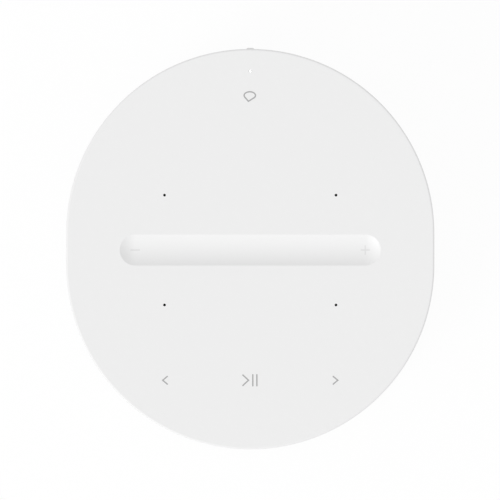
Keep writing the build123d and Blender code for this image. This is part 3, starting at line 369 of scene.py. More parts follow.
def make_object(name: str, vertices: Array, corners: Array, sides: Array, finish: Finish,
                crease: float = 30.0) -> bpy.types.Object:
    """Makes a mesh object from whole arrays.

    Args:
        name: The object's name.
        vertices: Points in millimetres, one row each.
        corners: The vertex index of every face corner, face after face.
        sides: How many corners each face has.
        finish: The finish that dresses it.
        crease: Edges that turn by more than this, in degrees, stay sharp.

    Returns:
        The object, at the origin.
    """
    mesh = bpy.data.meshes.new(name)
    mesh.vertices.add(len(vertices))
    mesh.vertices.foreach_set("co", (vertices * MM).astype(np.float32).ravel())
    mesh.loops.add(len(corners))
    mesh.loops.foreach_set("vertex_index", corners.astype(np.int32))
    mesh.polygons.add(len(sides))
    mesh.polygons.foreach_set("loop_start", np.concatenate(([0], np.cumsum(sides)[:-1])).astype(np.int32))
    mesh.update(calc_edges=True)
    mesh.polygons.foreach_set("use_smooth", np.ones(len(sides), bool))
    mesh.validate()
    mesh.set_sharp_from_angle(angle=math.radians(crease))
    mesh.materials.append(finish.material())
    return place_object(name, mesh)


def grid_faces(rows: int, columns: int, wrap_rows: bool, wrap_columns: bool) -> tuple[Array, Array]:
    """Numbers the quads of a grid of points, stored row after row.

    Args:
        rows: Rows of points.
        columns: Points in each row.
        wrap_rows: The last row joins the first.
        wrap_columns: The last column joins the first.

    Returns:
        The face corners and the number of corners of each face.
    """
    i = np.arange(rows if wrap_rows else rows - 1)
    j = np.arange(columns if wrap_columns else columns - 1)
    i, j = np.meshgrid(i, j, indexing="ij")
    up, along = (i + 1) % rows, (j + 1) % columns
    quads = np.stack([i * columns + j, i * columns + along, up * columns + along, up * columns + j], -1)
    return quads.reshape(-1), np.full(i.size, 4)


def weld(made: bpy.types.Object) -> bpy.types.Object:
    """Merges the points that lie on each other, so that poles and seams close.

    Args:
        made: The mesh object.

    Returns:
        The same object.
    """
    modifier = made.modifiers.new("weld", "WELD")
    modifier.merge_threshold = WELD * MM
    return bake(made)


def bake(made: bpy.types.Object) -> bpy.types.Object:
    """Applies an object's modifiers to its mesh.

    Args:
        made: The mesh object.

    Returns:
        The same object, with no modifier left.
    """
    graph = bpy.context.evaluated_depsgraph_get()
    graph.update()
    finished = bpy.data.meshes.new_from_object(made.evaluated_get(graph))
    finished.name = made.data.name
    made.modifiers.clear()
    made.data = finished
    return made


def settle(made: bpy.types.Object, body: str, slot: str, *nodes: str) -> bpy.types.Object:
    """Puts a finished piece on its body and in place of its CAD nodes.

    Args:
        made: The piece.
        body: The CAD body that it moves with.
        slot: The record's material slot. It is not used.
        *nodes: The CAD nodes that it stands for.

    Returns:
        The same piece.
    """
    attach(made, body)
    if nodes:
        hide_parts(*nodes)
    LOG.info("%s: %d faces on %s", made.name, len(made.data.polygons), body)
    return made


def stadium(length: Array, quarter: float, straight: float) -> tuple[Array, Array]:
    """Walks an outline of two half circles and two straights, from the middle of the first half circle.

    A half circle turns by length over radius and a straight keeps its angle, so the walk is a quarter
    circle, a straight, a half circle, a straight and a quarter circle.

    Args:
        length: Distances along the outline.
        quarter: The length of a quarter circle.
        straight: The length of a straight.

    Returns:
        The angle turned so far, in radians, and the place between the two centres, from 1 at the first to -1.
    """
    stops = np.cumsum([0, quarter, straight, 2 * quarter, straight, quarter])
    turned = np.radians(np.interp(length, stops, [0, 90, 90, 270, 270, 360]))
    return turned, np.interp(length, stops, [1, 1, -1, -1, 1, 1])


@dataclass
class Oval:
    """The body's outline: two half circles joined by short straights that run along Y."""

    width: float
    depth: float

    @property
    def radius(self) -> float:
        """The half circles' radius."""
        return self.width / 2

    @property
    def straight(self) -> float:
        """The length of each straight side."""
        return self.depth - self.width

    @property
    def girth(self) -> float:
        """The outline's whole length."""
        return 2 * math.pi * self.radius + 2 * self.straight

    def at(self, length: Array) -> tuple[Array, Array]:
        """Walks the outline from the middle of the front, towards +X and on round.

        Args:
            length: Distances along the outline, in millimetres.

        Returns:
            The points and the outward normals, as rows of x and y.
        """
        quarter = math.pi * self.radius / 2
        turned, place = stadium(np.mod(length, self.girth), quarter, self.straight)
        normal = np.stack([np.sin(turned), -np.cos(turned)], -1)
        point = normal * self.radius
        point[..., 1] -= place * self.straight / 2
        return point, normal


@dataclass
class Trough:
    """The dished volume trough: a capsule pressed into the top, as deep as its distance to a line says."""

    length: float = 85.1
    width: float = 10.1
    depth: float = 1.6
    y: float = -0.3

    @property
    def ball(self) -> float:
        """The capsule's radius: the circle through both rims and the bottom."""
        return (self.width ** 2 / 4 + self.depth ** 2) / (2 * self.depth)

    @property
    def half_line(self) -> float:
        """Half the length of the capsule's middle line."""
        return (self.length - self.width) / 2

    def drop(self, x: Array, y: Array) -> Array:
        """Depth below the flat top.

        The distance d to the middle line gives a circular dish: sqrt(ball^2 - d^2) less its value at the rim.

        Args:
            x: Places across the body.
            y: Places from front to rear.

        Returns:
            The depth at each place, 0 outside the rim.
        """
        beyond = np.maximum(np.abs(x) - self.half_line, 0)
        distance = np.hypot(beyond, y - self.y)
        dish = np.sqrt(np.maximum(self.ball ** 2 - distance ** 2, 0)) - (self.ball - self.depth)
        return np.maximum(dish, 0)

    def walk(self, share: Array) -> tuple[Array, Array]:
        """Walks the rim's outline from its +X end.

        Args:
            share: Shares of the whole walk, from 0 to 1.

        Returns:
            The nearest points of the middle line and the outward normals, as rows of x and y.
        """
        quarter, straight = math.pi * self.width / 4, 2 * self.half_line
        turned, place = stadium(share * (4 * quarter + 2 * straight), quarter, straight)
        middle = np.stack([place * self.half_line, np.full_like(place, self.y)], -1)
        return middle, np.stack([np.cos(turned), np.sin(turned)], -1)


Drape = Callable[[Array, Array, float], Array]


@dataclass
class Stroke:
    """One pen stroke of a printed symbol: a path of a given width with round ends, or a closed loop."""

    path: Sequence[tuple[float, float]]
    width: float = 0.42
    closed: bool = False
    steps: int = 6

    def spine(self) -> tuple[Array, Array]:
        """Samples the path and its half width.

        The half width at a distance s from an end is sqrt(r^2 - (r - s)^2) up to the full radius r, which
        rounds the end.

        Returns:
            The points of the path and the half width at each.
        """
        corners = np.array(self.path, float)
        radius = self.width / 2
        if self.closed:
            return corners, np.full(len(corners), radius)
        first = corners[1] - corners[0]
        last = corners[-2] - corners[-1]
        turn = np.linspace(0, math.pi / 2, self.steps)
        run = radius * (1 - np.cos(turn))
        start = corners[0] + np.outer(run - radius, first / np.hypot(*first))
        end = corners[-1] + np.outer(run - radius, last / np.hypot(*last))
        points = np.concatenate([start, corners[1:-1], end[::-1]])
        round_end = radius * np.sin(turn)
        middle = np.full(len(corners) - 2, radius)
        return points, np.concatenate([round_end, middle, round_end[::-1]])

    def ribbon(self, drape: Drape) -> tuple[Array, Array, Array]:
        """Carries a flat bar along the path and lays it on a surface.

        At a bend, the mitre is the sum of the normals before and after, over the share of one in it.

        Args:
            drape: Turns flat places and a lift into points on the surface.

        Returns:
            Points, face corners and sides, as make_object takes them.
        """
        points, half = self.spine()
        ahead = np.roll(points, -1, 0) - points
        behind = points - np.roll(points, 1, 0)
        if not self.closed:
            ahead[-1], behind[0] = behind[-1], ahead[0]
        unit = [v / np.hypot(v[:, 0], v[:, 1])[:, None] for v in (ahead, behind)]
        left = [np.stack([-u[:, 1], u[:, 0]], -1) for u in unit]
        mitre = left[0] + left[1]
        mitre /= np.maximum((mitre * left[0]).sum(1), 1 / MITRE_LIMIT)[:, None]
        flat = points[:, None] + mitre[:, None] * (half[:, None] * ACROSS)[..., None]
        top = drape(flat[..., 0], flat[..., 1], 0.0)
        bottom = drape(flat[..., 0], flat[..., 1], -INK_DEPTH)[:, ::-1]
        loops = np.concatenate([top, bottom], 1)
        corners, sides = grid_faces(len(points), loops.shape[1], self.closed, True)
        return loops.reshape(-1, 3), corners, sides


def print_symbol(name: str, strokes: Sequence[Stroke], drape: Drape, finish: Finish) -> bpy.types.Object:
    """Prints a symbol made of strokes as one thin piece.

    Args:
        name: The piece's name.
        strokes: Its strokes.
        drape: Lays flat places on the surface that carries the print.
        finish: The ink.

    Returns:
        The piece.
    """
    parts = [stroke.ribbon(drape) for stroke in strokes]
    offsets = np.cumsum([0] + [len(p[0]) for p in parts[:-1]])
    vertices = np.concatenate([p[0] for p in parts])
    corners = np.concatenate([p[1] + o for p, o in zip(parts, offsets)])
    sides = np.concatenate([p[2] for p in parts])
    return settle(weld(make_object(name, vertices, corners, sides, finish)), "cabinet", "white_plastic")


def arc(x: float, y: float | Array, radius: float, turn: Array) -> Array:
    """Gives the points of an arc: the centre plus radius times the cosine and the sine."""
    return np.stack([x + radius * np.cos(turn), y + radius * np.sin(turn)], -1)


def tubes(name: str, places: Array, profile: Array, finish: Finish) -> bpy.types.Object:
    """Turns one profile of radius and height about an upright axis at each place.

    Args:
        name: The piece's name.
        places: Rows of x and y.
        profile: Rows of radius and z, from the axis below, out and up to the axis above.
        finish: The finish that dresses it.

    Returns:
        The piece.
    """
    circle = arc(0, 0, 1, np.linspace(0, 2 * math.pi, HOLE_SIDES, endpoint=False))
    corners, sides = grid_faces(len(profile), HOLE_SIDES, False, True)
    flat = places[:, None, None] + profile[None, :, None, :1] * circle
    z = np.broadcast_to(profile[None, :, None, 1:], (*flat.shape[:3], 1))
    points = np.concatenate([flat, z], -1).reshape(-1, 3)
    corners = (corners + np.arange(len(places))[:, None] * len(profile) * HOLE_SIDES).ravel()
    return weld(make_object(name, points, corners, np.tile(sides, len(places)), finish))


@dataclass
class TouchPrint:
    """The panel's printed symbols: play and pause, two skips, a speech bubble, a minus and a plus."""

    drape: Drape
    sign_y: float
    row: float = -42.75
    skip_x: float = 27.79
    skip_depth: float = 1.5
    skip_rise: float = 1.25
    play_rear: float = -2.4
    play_tip: float = -0.55
    play_rise: float = 1.7
    bar_x: tuple[float, float] = (0.83, 2.16)
    bar_rise: float = 1.8
    bubble_middle: tuple[float, float] = (-0.15, 50.1)
    bubble_radii: tuple[float, float] = (1.85, 1.2)
    bubble_tail: tuple[float, float] = (-0.6, 48.2)
    bubble_turn: tuple[float, float] = (-35.0, 215.0)
    bubble_steps: int = 28
    sign_x: float = 37.5
    sign_half: float = 1.35

    def chevron(self, rear: float, tip: float, rise: float) -> Stroke:
        """Draws an arrow head on the row of symbols, from its rear ends to its tip."""
        return Stroke([(rear, self.row + rise), (tip, self.row), (rear, self.row - rise)])

    def bubble(self) -> Stroke:
        """Draws the bubble: most of an ellipse, whose two lower ends run to the tip of its tail.

        Returns:
            The closed stroke.
        """
        turn = np.radians(np.linspace(*self.bubble_turn, self.bubble_steps))
        ellipse = np.array(self.bubble_middle) + np.array(self.bubble_radii) * arc(0, 0, 1, turn)
        return Stroke([*map(tuple, ellipse), self.bubble_tail], closed=True)

    def sign(self, x: float, run: float, rise: float) -> Stroke:
        """Draws a straight stroke in the trough, with a point in its middle so that it follows the dish."""
        return Stroke([(x + share * run, self.sign_y + share * rise) for share in (-1, 0, 1)])

    def build(self) -> None:
        """Prints each symbol as a piece of its own, the two in the trough in thin ink."""
        for name, side in (("skip_back", -1), ("skip_forward", 1)):
            tip = side * (self.skip_x + self.skip_depth / 2)
            head = self.chevron(tip - side * self.skip_depth, tip, self.skip_rise)
            print_symbol(f"symbol_{name}", [head], self.drape, GREY_INK)
        play = self.chevron(self.play_rear, self.play_tip, self.play_rise)
        bars = [Stroke([(x, self.row + self.bar_rise), (x, self.row - self.bar_rise)]) for x in self.bar_x]
        print_symbol("symbol_play_pause", [play, *bars], self.drape, GREY_INK)
        print_symbol("symbol_voice", [self.bubble()], self.drape, GREY_INK)
        minus = [self.sign(-self.sign_x, self.sign_half, 0)]
        plus = [self.sign(self.sign_x, self.sign_half, 0), self.sign(self.sign_x, 0, self.sign_half)]
        print_symbol("symbol_volume_down", minus, self.drape, FAINT_INK)
        print_symbol("symbol_volume_up", plus, self.drape, FAINT_INK)


@dataclass
class TopPanel:
    """The touch panel, with its holes, black cups of painted shade in its microphone holes, and its print."""

    oval: Oval
    trough: Trough = field(default_factory=Trough)
    print_depth: float = 0.02
    edge_radius: float = 0.6
    hem: float = 0.2
    skirt: float = 1.8
    plate: float = 3.0
    mic_x: float = 27.95
    mic_y: float = 17.9
    mic_radius: float = 0.45
    # The black cups of painted shade inside the microphone holes: their gap to the hole's side, their wall,
    # how far they sink below the top and their depth
    mouth_gap: float = 0.01
    mouth_wall: float = 0.05
    mouth_sunk: float = 0.04
    mouth_depth: float = 0.5
    light_y: float = 58.0
    light_radius: float = 0.5
    around: int = 720
    dish_steps: int = 25
    edge_steps: int = 9
    crease: float = 20.0
    # Rings across the flat, close together at both ends, which keeps its shading flat
    flat_shares: tuple[float, ...] = (0.002, 0.25, 0.5, 0.75, 0.97, 0.998)
    bottom: float = field(init=False)
    top: float = field(init=False)

    def __post_init__(self) -> None:
        """Takes the heights from the CAD node."""
        low, high = millimetres("top_panel")
        self.bottom, self.top = low[2], high[2] - self.print_depth

    def surface(self) -> bpy.types.Object:
        """Builds the panel as one profile carried round the outline.

        Each radius of the profile runs from the trough's middle line up its dish to the rim, across the
        flat, round the edge, down the skirt, and back under the plate to the middle line. The rings are
        then numbered from the last to the first, which turns the faces outward.

        Returns:
            The panel, closed, with no holes yet.
        """
        share = np.arange(self.around) / self.around
        middle, rim_normal = self.trough.walk(share)
        # A quarter of the way on from the front, both walks start at +X
        outline, normal = self.oval.at((share + 0.25) * self.oval.girth)
        rings: list[Array] = []

        def ring(flat: Array, z: Array | float) -> None:
            """Adds one ring of the grid."""
            rings.append(np.concatenate([flat, np.broadcast_to(z, (self.around,))[:, None]], 1))

        half = self.trough.width / 2
        for distance in half * np.sin(np.linspace(0, math.pi / 2, self.dish_steps)):
            flat = middle + rim_normal * distance
            ring(flat, self.top - self.trough.drop(flat[:, 0], flat[:, 1]))
        rim = middle + rim_normal * half
        shoulder = outline - normal * self.edge_radius
        for blend in self.flat_shares:
            ring(rim + (shoulder - rim) * blend, self.top)
        for turn in np.linspace(0, math.pi / 2, self.edge_steps):
            ring(outline - normal * self.edge_radius * (1 - math.sin(turn)),
                 self.top - self.edge_radius * (1 - math.cos(turn)))
        inside = outline - normal * self.skirt
        under = self.top + self.print_depth - self.plate
        ring(outline, self.bottom + self.hem)
        ring(outline - normal * self.hem, self.bottom)
        ring(inside, self.bottom)
        for blend in (0.0, 0.5, 1.0):
            ring(inside + (middle - inside) * blend, under)
        points = np.concatenate(rings[::-1])
        corners, sides = grid_faces(len(rings), self.around, False, True)
        return weld(make_object("touch_panel", points, corners, sides, WHITE_ABS, self.crease))

    def mic_places(self) -> Array:
        """The four microphone holes, as rows of x and y."""
        signs = np.array([(-1, -1), (-1, 1), (1, -1), (1, 1)])
        return signs * (self.mic_x, self.mic_y) + (0, self.trough.y)

    def drill(self, panel: bpy.types.Object) -> None:
        """Cuts the microphone holes and the light hole through the panel.

        Args:
            panel: The panel to cut.
        """
        far = 1.0
        levels = (self.top - self.plate - far, self.top + far)
        for places, radius in ((self.mic_places(), self.mic_radius),
                               (np.array([[0, self.light_y]]), self.light_radius)):
            profile = np.array([(0, levels[0]), (radius, levels[0]), (radius, levels[1]), (0, levels[1])])
            cutter = tubes("drill", places, profile, WHITE_ABS)
            modifier = panel.modifiers.new("drill", "BOOLEAN")
            modifier.operation = "DIFFERENCE"
            modifier.solver = "EXACT"
            modifier.object = cutter
            bake(panel)
            bpy.data.objects.remove(cutter)
        panel.data.set_sharp_from_angle(angle=math.radians(self.crease))

    def mic_shade_cups(self) -> bpy.types.Object:
        """Builds a black cloth cup just inside each microphone hole: painted shade, which makes the hole read
        as a dark dot.

        Returns:
            The four cups as one piece.
        """
        outer = self.mic_radius - self.mouth_gap
        inner, brim, floor = outer - self.mouth_wall, self.top - self.mouth_sunk, self.top - self.mouth_depth
        under = floor - self.mouth_wall
        profile = [(0, under), (outer, under), (outer, brim), (inner, brim), (inner, floor), (0, floor)]
        cups = tubes("microphone_shade_cups", self.mic_places(), np.array(profile), SHADE_BLACK_CLOTH)
        return settle(cups, "cabinet", "black_plastic")

    def on_top(self, x: Array, y: Array, lift: float) -> Array:
        """Lays flat places on the panel, down into the trough where they lie over it.

        Args:
            x: Places across the body.
            y: Places from front to rear.
            lift: Distance above the print's level.

        Returns:
            The points, with the top of the print flush with the CAD panel's top.
        """
        z = self.top + self.print_depth + lift - self.trough.drop(x, y)
        return np.stack([x, y, z], -1)

    def build(self) -> None:
        """Builds and dresses the panel, its holes and its symbols."""
        panel = self.surface()
        self.drill(panel)
        settle(panel, "cabinet", "white_plastic", "top_panel")
        self.mic_shade_cups()
        TouchPrint(self.on_top, self.trough.y).build()


@dataclass
class Grille:
    """The drilled steel skin, in bands of brick-bonded cells with one round hole each."""

    oval: Oval
    spine_half: float = 20.3
    pitch: float = 2.2
    hole: float = 1.2
    margin: float = 2.0
    wall: float = 1.8
    bands: int = 4
    crease: float = 35.0
    bottom: float = field(init=False)
    top: float = field(init=False)

    def __post_init__(self) -> None:
        """Takes the heights from the CAD node."""
        low, high = millimetres("grille")
        self.bottom, self.top = low[2], high[2]

    @property
    def half_length(self) -> float:
        """The length of skin from the middle of the front to the edge at the spine."""
        edge = math.asin(self.spine_half / self.oval.radius)
        return self.oval.girth / 2 - edge * self.oval.radius

    def on_skin(self, along: Array, z: Array, inset: float) -> Array:
        """Wraps flat places round the body.

        Args:
            along: Distances from the middle of the front, positive towards +X.
            z: Heights.
            inset: Distance inside the outline.

        Returns:
            The points.
        """
        point, normal = self.oval.at(along)
        flat = point - normal * inset
        return np.concatenate([flat, z[..., None]], -1)

    def build(self) -> None:
        """Builds the bands from bottom to top, each a closed piece."""
        columns = 2 * int(self.half_length / self.pitch) + 1
        clear = self.top - self.bottom - 2 * self.margin
        rows = 2 * int(clear / (self.pitch * math.sqrt(3))) + 1
        levels = self.bottom + self.margin + clear * np.arange(rows + 1) / rows
        stops = np.round(np.linspace(0, rows, self.bands + 1)).astype(int)
        for band, (start, stop) in enumerate(zip(stops[:-1], stops[1:])):
            plain_low = [self.bottom] if band == 0 else []
            plain_high = [self.top] if band == self.bands - 1 else []
            made = self.band(f"grille_band_{band + 1}", columns, start - rows // 2, levels[start:stop + 1],
                             plain_low, plain_high)
            settle(made, "cabinet", "grille_paint", "grille")

    def band(self, name: str, columns: int, first_row: int, lines: Array, plain_low: list[float],
             plain_high: list[float]) -> bpy.types.Object:
        """Builds one closed band of cells.

        A cell is a brick of the flat skin, one pitch wide, whose six edge points join a ring of twelve points
        round its hole outside and six inside. Odd rows shift by half a pitch, with half bricks at their ends.

        Args:
            name: The piece's name.
            columns: Cells in a full row.
            first_row: The band's first row, counted from the middle row, which decides the shift.
            lines: Heights of the lines between rows.
            plain_low: The height of the plain edge below, if any.
            plain_high: The height of the plain edge above, if any.

        Returns:
            The band.
        """
        z_lines = np.concatenate([plain_low, lines, plain_high])
        steps = 2 * columns + 1
        along = np.linspace(-self.half_length, self.half_length, steps)
        u, z = np.meshgrid(along, z_lines)
        shell = [self.on_skin(u, z, inset).reshape(-1, 3) for inset in (0.0, self.wall)]
        count = len(shell[0])
        rows = len(lines) - 1
        base = len(plain_low)
        row, column = np.meshgrid(np.arange(rows), np.arange(columns), indexing="ij")
        shifted = (row + first_row) % 2
        keep = ~((shifted == 1) & (column == columns - 1))
        row, column, shifted = row[keep], column[keep], shifted[keep]
        left = 2 * column + shifted
        low = (row + base) * steps + left
        high = low + steps
        rim = np.stack([low + 1, low + 2, high + 2, high + 1, high, low], -1)
        back = rim + count
        cells, edges = rim.shape
        centre_u = along[left + 1]
        centre_z = (lines[row] + lines[row + 1]) / 2

        def ring(sides: int, inset: float) -> Array:
            """Gives the points round every hole, from its lowest."""
            around = arc(0, 0, self.hole / 2, -math.pi / 2 + 2 * math.pi * np.arange(sides) / sides)
            return self.on_skin(centre_u[:, None] + around[:, 0], centre_z[:, None] + around[:, 1], inset)

        outside, inside = ring(2 * edges, 0.0), ring(edges, self.wall)
        hole = 2 * count + np.arange(2 * edges * cells).reshape(cells, -1)
        bore = 2 * count + hole.size + np.arange(edges * cells).reshape(cells, -1)
        side = np.arange(edges)
        following = (side + 1) % edges
        lip = [hole[:, 2 * side], hole[:, 2 * side + 1], hole[:, 2 * following]]
        face_out = np.stack([rim[:, side], rim[:, following], *lip[::-1]], -1)
        face_wall = np.stack([*lip, bore[:, following], bore[:, side]], -1)
        face_in = np.stack([back[:, following], back[:, side], bore[:, side], bore[:, following]], -1)
        quads = self.plain_quads(len(z_lines), steps, base, rows, first_row)
        kinds = (face_out, face_wall, face_in, quads)
        corners = np.concatenate([faces.ravel() for faces in kinds])
        sides = np.concatenate([np.full(faces.size // faces.shape[-1], faces.shape[-1]) for faces in kinds])
        vertices = np.concatenate([*shell, outside.reshape(-1, 3), inside.reshape(-1, 3)])
        return make_object(name, vertices, corners, sides, WHITE_POWDER, self.crease)

    @staticmethod
    def plain_quads(lines: int, steps: int, base: int, rows: int, first_row: int) -> Array:
        """Numbers the quads with no hole: plain edges, half bricks and the four cut edges of the shell.

        A quad of a cut edge runs from one point to the next of the outer shell and back along the inner.

        Args:
            lines: How many lines the band has.
            steps: Points along each line.
            base: Plain rows below the first row of cells.
            rows: Rows of cells.
            first_row: The first row of cells, counted from the middle row.

        Returns:
            The corners of each quad.
        """
        count = lines * steps
        along, up = np.arange(steps - 1), np.arange(lines - 1) * steps
        plain = [r * steps + along for r in range(lines - 1) if not base <= r < base + rows]
        odd = (base + np.flatnonzero((np.arange(rows) + first_row) % 2 == 1)) * steps
        at = np.concatenate([*plain, odd, odd + steps - 2])
        outer = np.stack([at, at + 1, at + steps + 1, at + steps], -1)
        last, end = count - steps + along, up + steps - 1
        here = np.concatenate([along + 1, last, up, end + steps])
        there = np.concatenate([along, last + 1, up + steps, end])
        cut = np.stack([here, there, there + count, here + count], -1)
        return np.concatenate([outer, outer[:, ::-1] + count, cut])


@dataclass
class Foot:
    """The cast silicone foot: a rounded band carried round the outline, with two grooves in its tread."""

    oval: Oval
    inset: float = 6.0
    band: float = 10.0
    corner: float = 0.8
    groove: float = 0.4
    groove_width: float = 1.2
    corner_steps: int = 6
    around: int = 480

    def build(self) -> None:
        """Builds the foot from its section, walked from the inner top round the tread to the outer top."""
        low, high = millimetres("foot_ring")
        turn = np.linspace(0, math.pi / 2, self.corner_steps)
        down, along = self.corner * (1 - np.sin(turn)), self.corner * (1 - np.cos(turn))
        inner, outer, floor, half = self.inset + self.band, self.inset, low[2], self.groove_width / 2
        section = [(inner, high[2]), *zip(inner - along, floor + down)]
        for middle in (inner - self.band / 3, outer + self.band / 3):
            section += [(middle + half, floor), (middle + half / 2, floor + self.groove),
                        (middle - half / 2, floor + self.groove), (middle - half, floor)]
        profile = np.array([*section, *zip(outer + down, floor + along), (outer, high[2])])
        outline, normal = self.oval.at(np.arange(self.around) * self.oval.girth / self.around)
        flat = outline[None] - normal[None] * profile[:, None, :1]
        z = np.broadcast_to(profile[:, None, 1:], (*flat.shape[:2], 1))
        points = np.concatenate([flat, z], -1)
        corners, sides = grid_faces(len(profile), self.around, True, True)
        made = make_object("foot_band", points.reshape(-1, 3), corners, sides, SILICONE)
        settle(made, "cabinet", "silicone", "foot_ring")


@dataclass
class SpinePrint:
    """The two printed symbols on the rear spine: a microphone by its switch and waves by the button."""

    oval: Oval
    offset: float = 6.0
    capsule_radius: float = 0.75
    capsule_half: float = 0.7
    cradle_radius: float = 1.45
    wave_step: float = 0.85
    waves_shown: int = 3
    lift: float = 0.02
    circle_steps: int = 24

    def on_spine(self, across: Array, z: Array, lift: float) -> Array:
        """Lays flat places on the spine's half circle, where y is its centre plus sqrt(radius^2 - across^2).

        Args:
            across: Places to the right as seen from behind, which is towards -X.
            z: Heights.
            lift: Distance outside the print's level.

        Returns:
            The points.
        """
        y = self.oval.straight / 2 + np.sqrt(self.oval.radius ** 2 - across ** 2) + self.lift + lift
        return np.stack([-across, y, z], -1)

    def microphone(self, x: float, z: float) -> list[Stroke]:
        """Draws a microphone: a capsule, the cradle's half circle below it, a stem and a foot.

        Args:
            x: Its middle, to the right as seen from behind.
            z: Its capsule's middle height.

        Returns:
            Its strokes.
        """
        turn = np.linspace(0, 2 * math.pi, self.circle_steps, endpoint=False)
        up = np.where(turn < math.pi, self.capsule_half, -self.capsule_half)
        capsule = arc(x, z + up, self.capsule_radius, turn)
        low = z - self.capsule_half
        below = np.linspace(math.pi, 2 * math.pi, self.circle_steps // 2 + 1)
        cradle = arc(x, low, self.cradle_radius, below)
        foot = low - 2 * self.cradle_radius + self.capsule_half
        stem = [(x, low - self.cradle_radius), (x, foot)]
        base = [(x - self.capsule_radius, foot), (x + self.capsule_radius, foot)]
        return [Stroke(capsule.tolist(), closed=True), Stroke(cradle.tolist()), Stroke(stem), Stroke(base)]

    def waves(self, x: float, z: float) -> list[Stroke]:
        """Draws a signal: quarter circles of growing radius about one centre.

        Args:
            x: The arcs' centre, to the right as seen from behind.
            z: The arcs' centre height.

        Returns:
            Its strokes.
        """
        fan = np.radians(np.linspace(45, 135, self.circle_steps // 3 + 1))
        return [Stroke(arc(x, z, (number + 1) * self.wave_step, fan).tolist())
                for number in range(self.waves_shown)]

    def build(self) -> None:
        """Prints both symbols level with the controls that they belong to."""
        low, high = millimetres("mic_switch_knob")
        strokes = self.microphone(self.offset, (low[2] + high[2]) / 2)
        print_symbol("symbol_microphone", strokes, self.on_spine, GREY_INK)
        low, high = millimetres("pairing_button")
        strokes = self.waves(self.offset + self.cradle_radius, (low[2] + high[2]) / 2 - self.wave_step)
        print_symbol("symbol_pairing", strokes, self.on_spine, GREY_INK)


@dataclass
class Suspension:
    """A soft ring about the woofer's axis, in wedges that each run from the basket to the cone.
    """

    node: str
    finish: Finish
    slot: str
    front: Array
    rear: Array
    moving: float
    held: float
    wedges: int
    steps: int = 4

    def build(self) -> None:
        """Turns the section, out along its front and back along its rear, about the axis in each wedge."""
        low, high = millimetres(self.node)
        axis = (low + high) / 2
        section = np.concatenate([self.front, self.rear[::-1]])
        loop = np.arange(len(section))
        corners, sides = grid_faces(self.steps + 1, len(section), False, True)
        corners = np.concatenate([corners, loop[::-1], loop + self.steps * len(section)])
        sides = np.concatenate([sides, np.full(2, len(section))])
        half = math.pi / self.wedges
        for wedge in range(self.wedges):
            aim = 2 * half * wedge
            turn = aim + np.linspace(-half, half, self.steps + 1)
            x = np.outer(np.cos(turn), section[:, 0])
            z = np.outer(np.sin(turn), section[:, 0]) + axis[2]
            points = np.stack([x, np.broadcast_to(section[:, 1], x.shape), z], -1).reshape(-1, 3)
            made = make_object(f"{self.node}_{wedge + 1:02d}", points, corners, sides, self.finish)
            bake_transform(made)
            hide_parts(self.node)
            LOG.info("%s: %d faces from cabinet to woofer_cone", made.name, len(made.data.polygons))


def spider(inner: float = 12.75, land: float = 1.5, rolls: int = 3, steps: int = 49) -> Suspension:
    """Designs the spider: a cloth ring with a flat land at each edge and rolls of one cosine each between.

    Args:
        inner: The radius at the coil former.
        land: The width of each land.
        rolls: How many rolls it has.
        steps: Points from the inner edge to the outer.

    Returns:
        The ring.
    """
    low, high = millimetres("woofer_spider")
    outer, cloth = high[0], (high[1] - low[1]) / 2
    radius = np.linspace(inner, outer, steps)
    share = np.clip((radius - inner - land) / (outer - inner - 2 * land), 0, 1)
    rise = cloth * (1 - np.cos(2 * math.pi * rolls * share)) / 2
    rear = np.stack([radius, high[1] - rise], -1)
    return Suspension("woofer_spider", SILK, "silk", front=rear - (0, cloth), rear=rear, moving=inner + land,
                      held=outer - 2 * land, wedges=12)


def surround(inner: float = 36.05, rubber: float = 0.6, steps: int = 25) -> Suspension:
    """Designs the surround: half an ellipse from the cone's edge to the flange, with a lip down the cone.

    Args:
        inner: The radius of the lip's inside, against the cone's edge.
        rubber: The thickness.
        steps: Points over the roll.

    Returns:
        The ring, whose lip lies against the cone's edge.
    """
    low, high = millimetres("woofer_surround")
    middle, half, rise = (inner + high[0]) / 2, (high[0] - inner) / 2, (high[1] - low[1]) / 2
    turn = np.linspace(0, math.pi, steps)
    foot = low[1] + rise

    def roll(inset: float) -> Array:
        """Gives the section's front, or its rear if it is set in by the thickness, from the lip outward."""
        over = np.stack([middle - (half - inset) * np.cos(turn), foot - (rise - inset) * np.sin(turn)], -1)
        return np.concatenate([[(middle - half + inset, high[1])], over])

    return Suspension("woofer_surround", RUBBER, "rubber", front=roll(0.0), rear=roll(rubber),
                      moving=inner + rubber, held=high[0] - 2 * rubber, wedges=24)


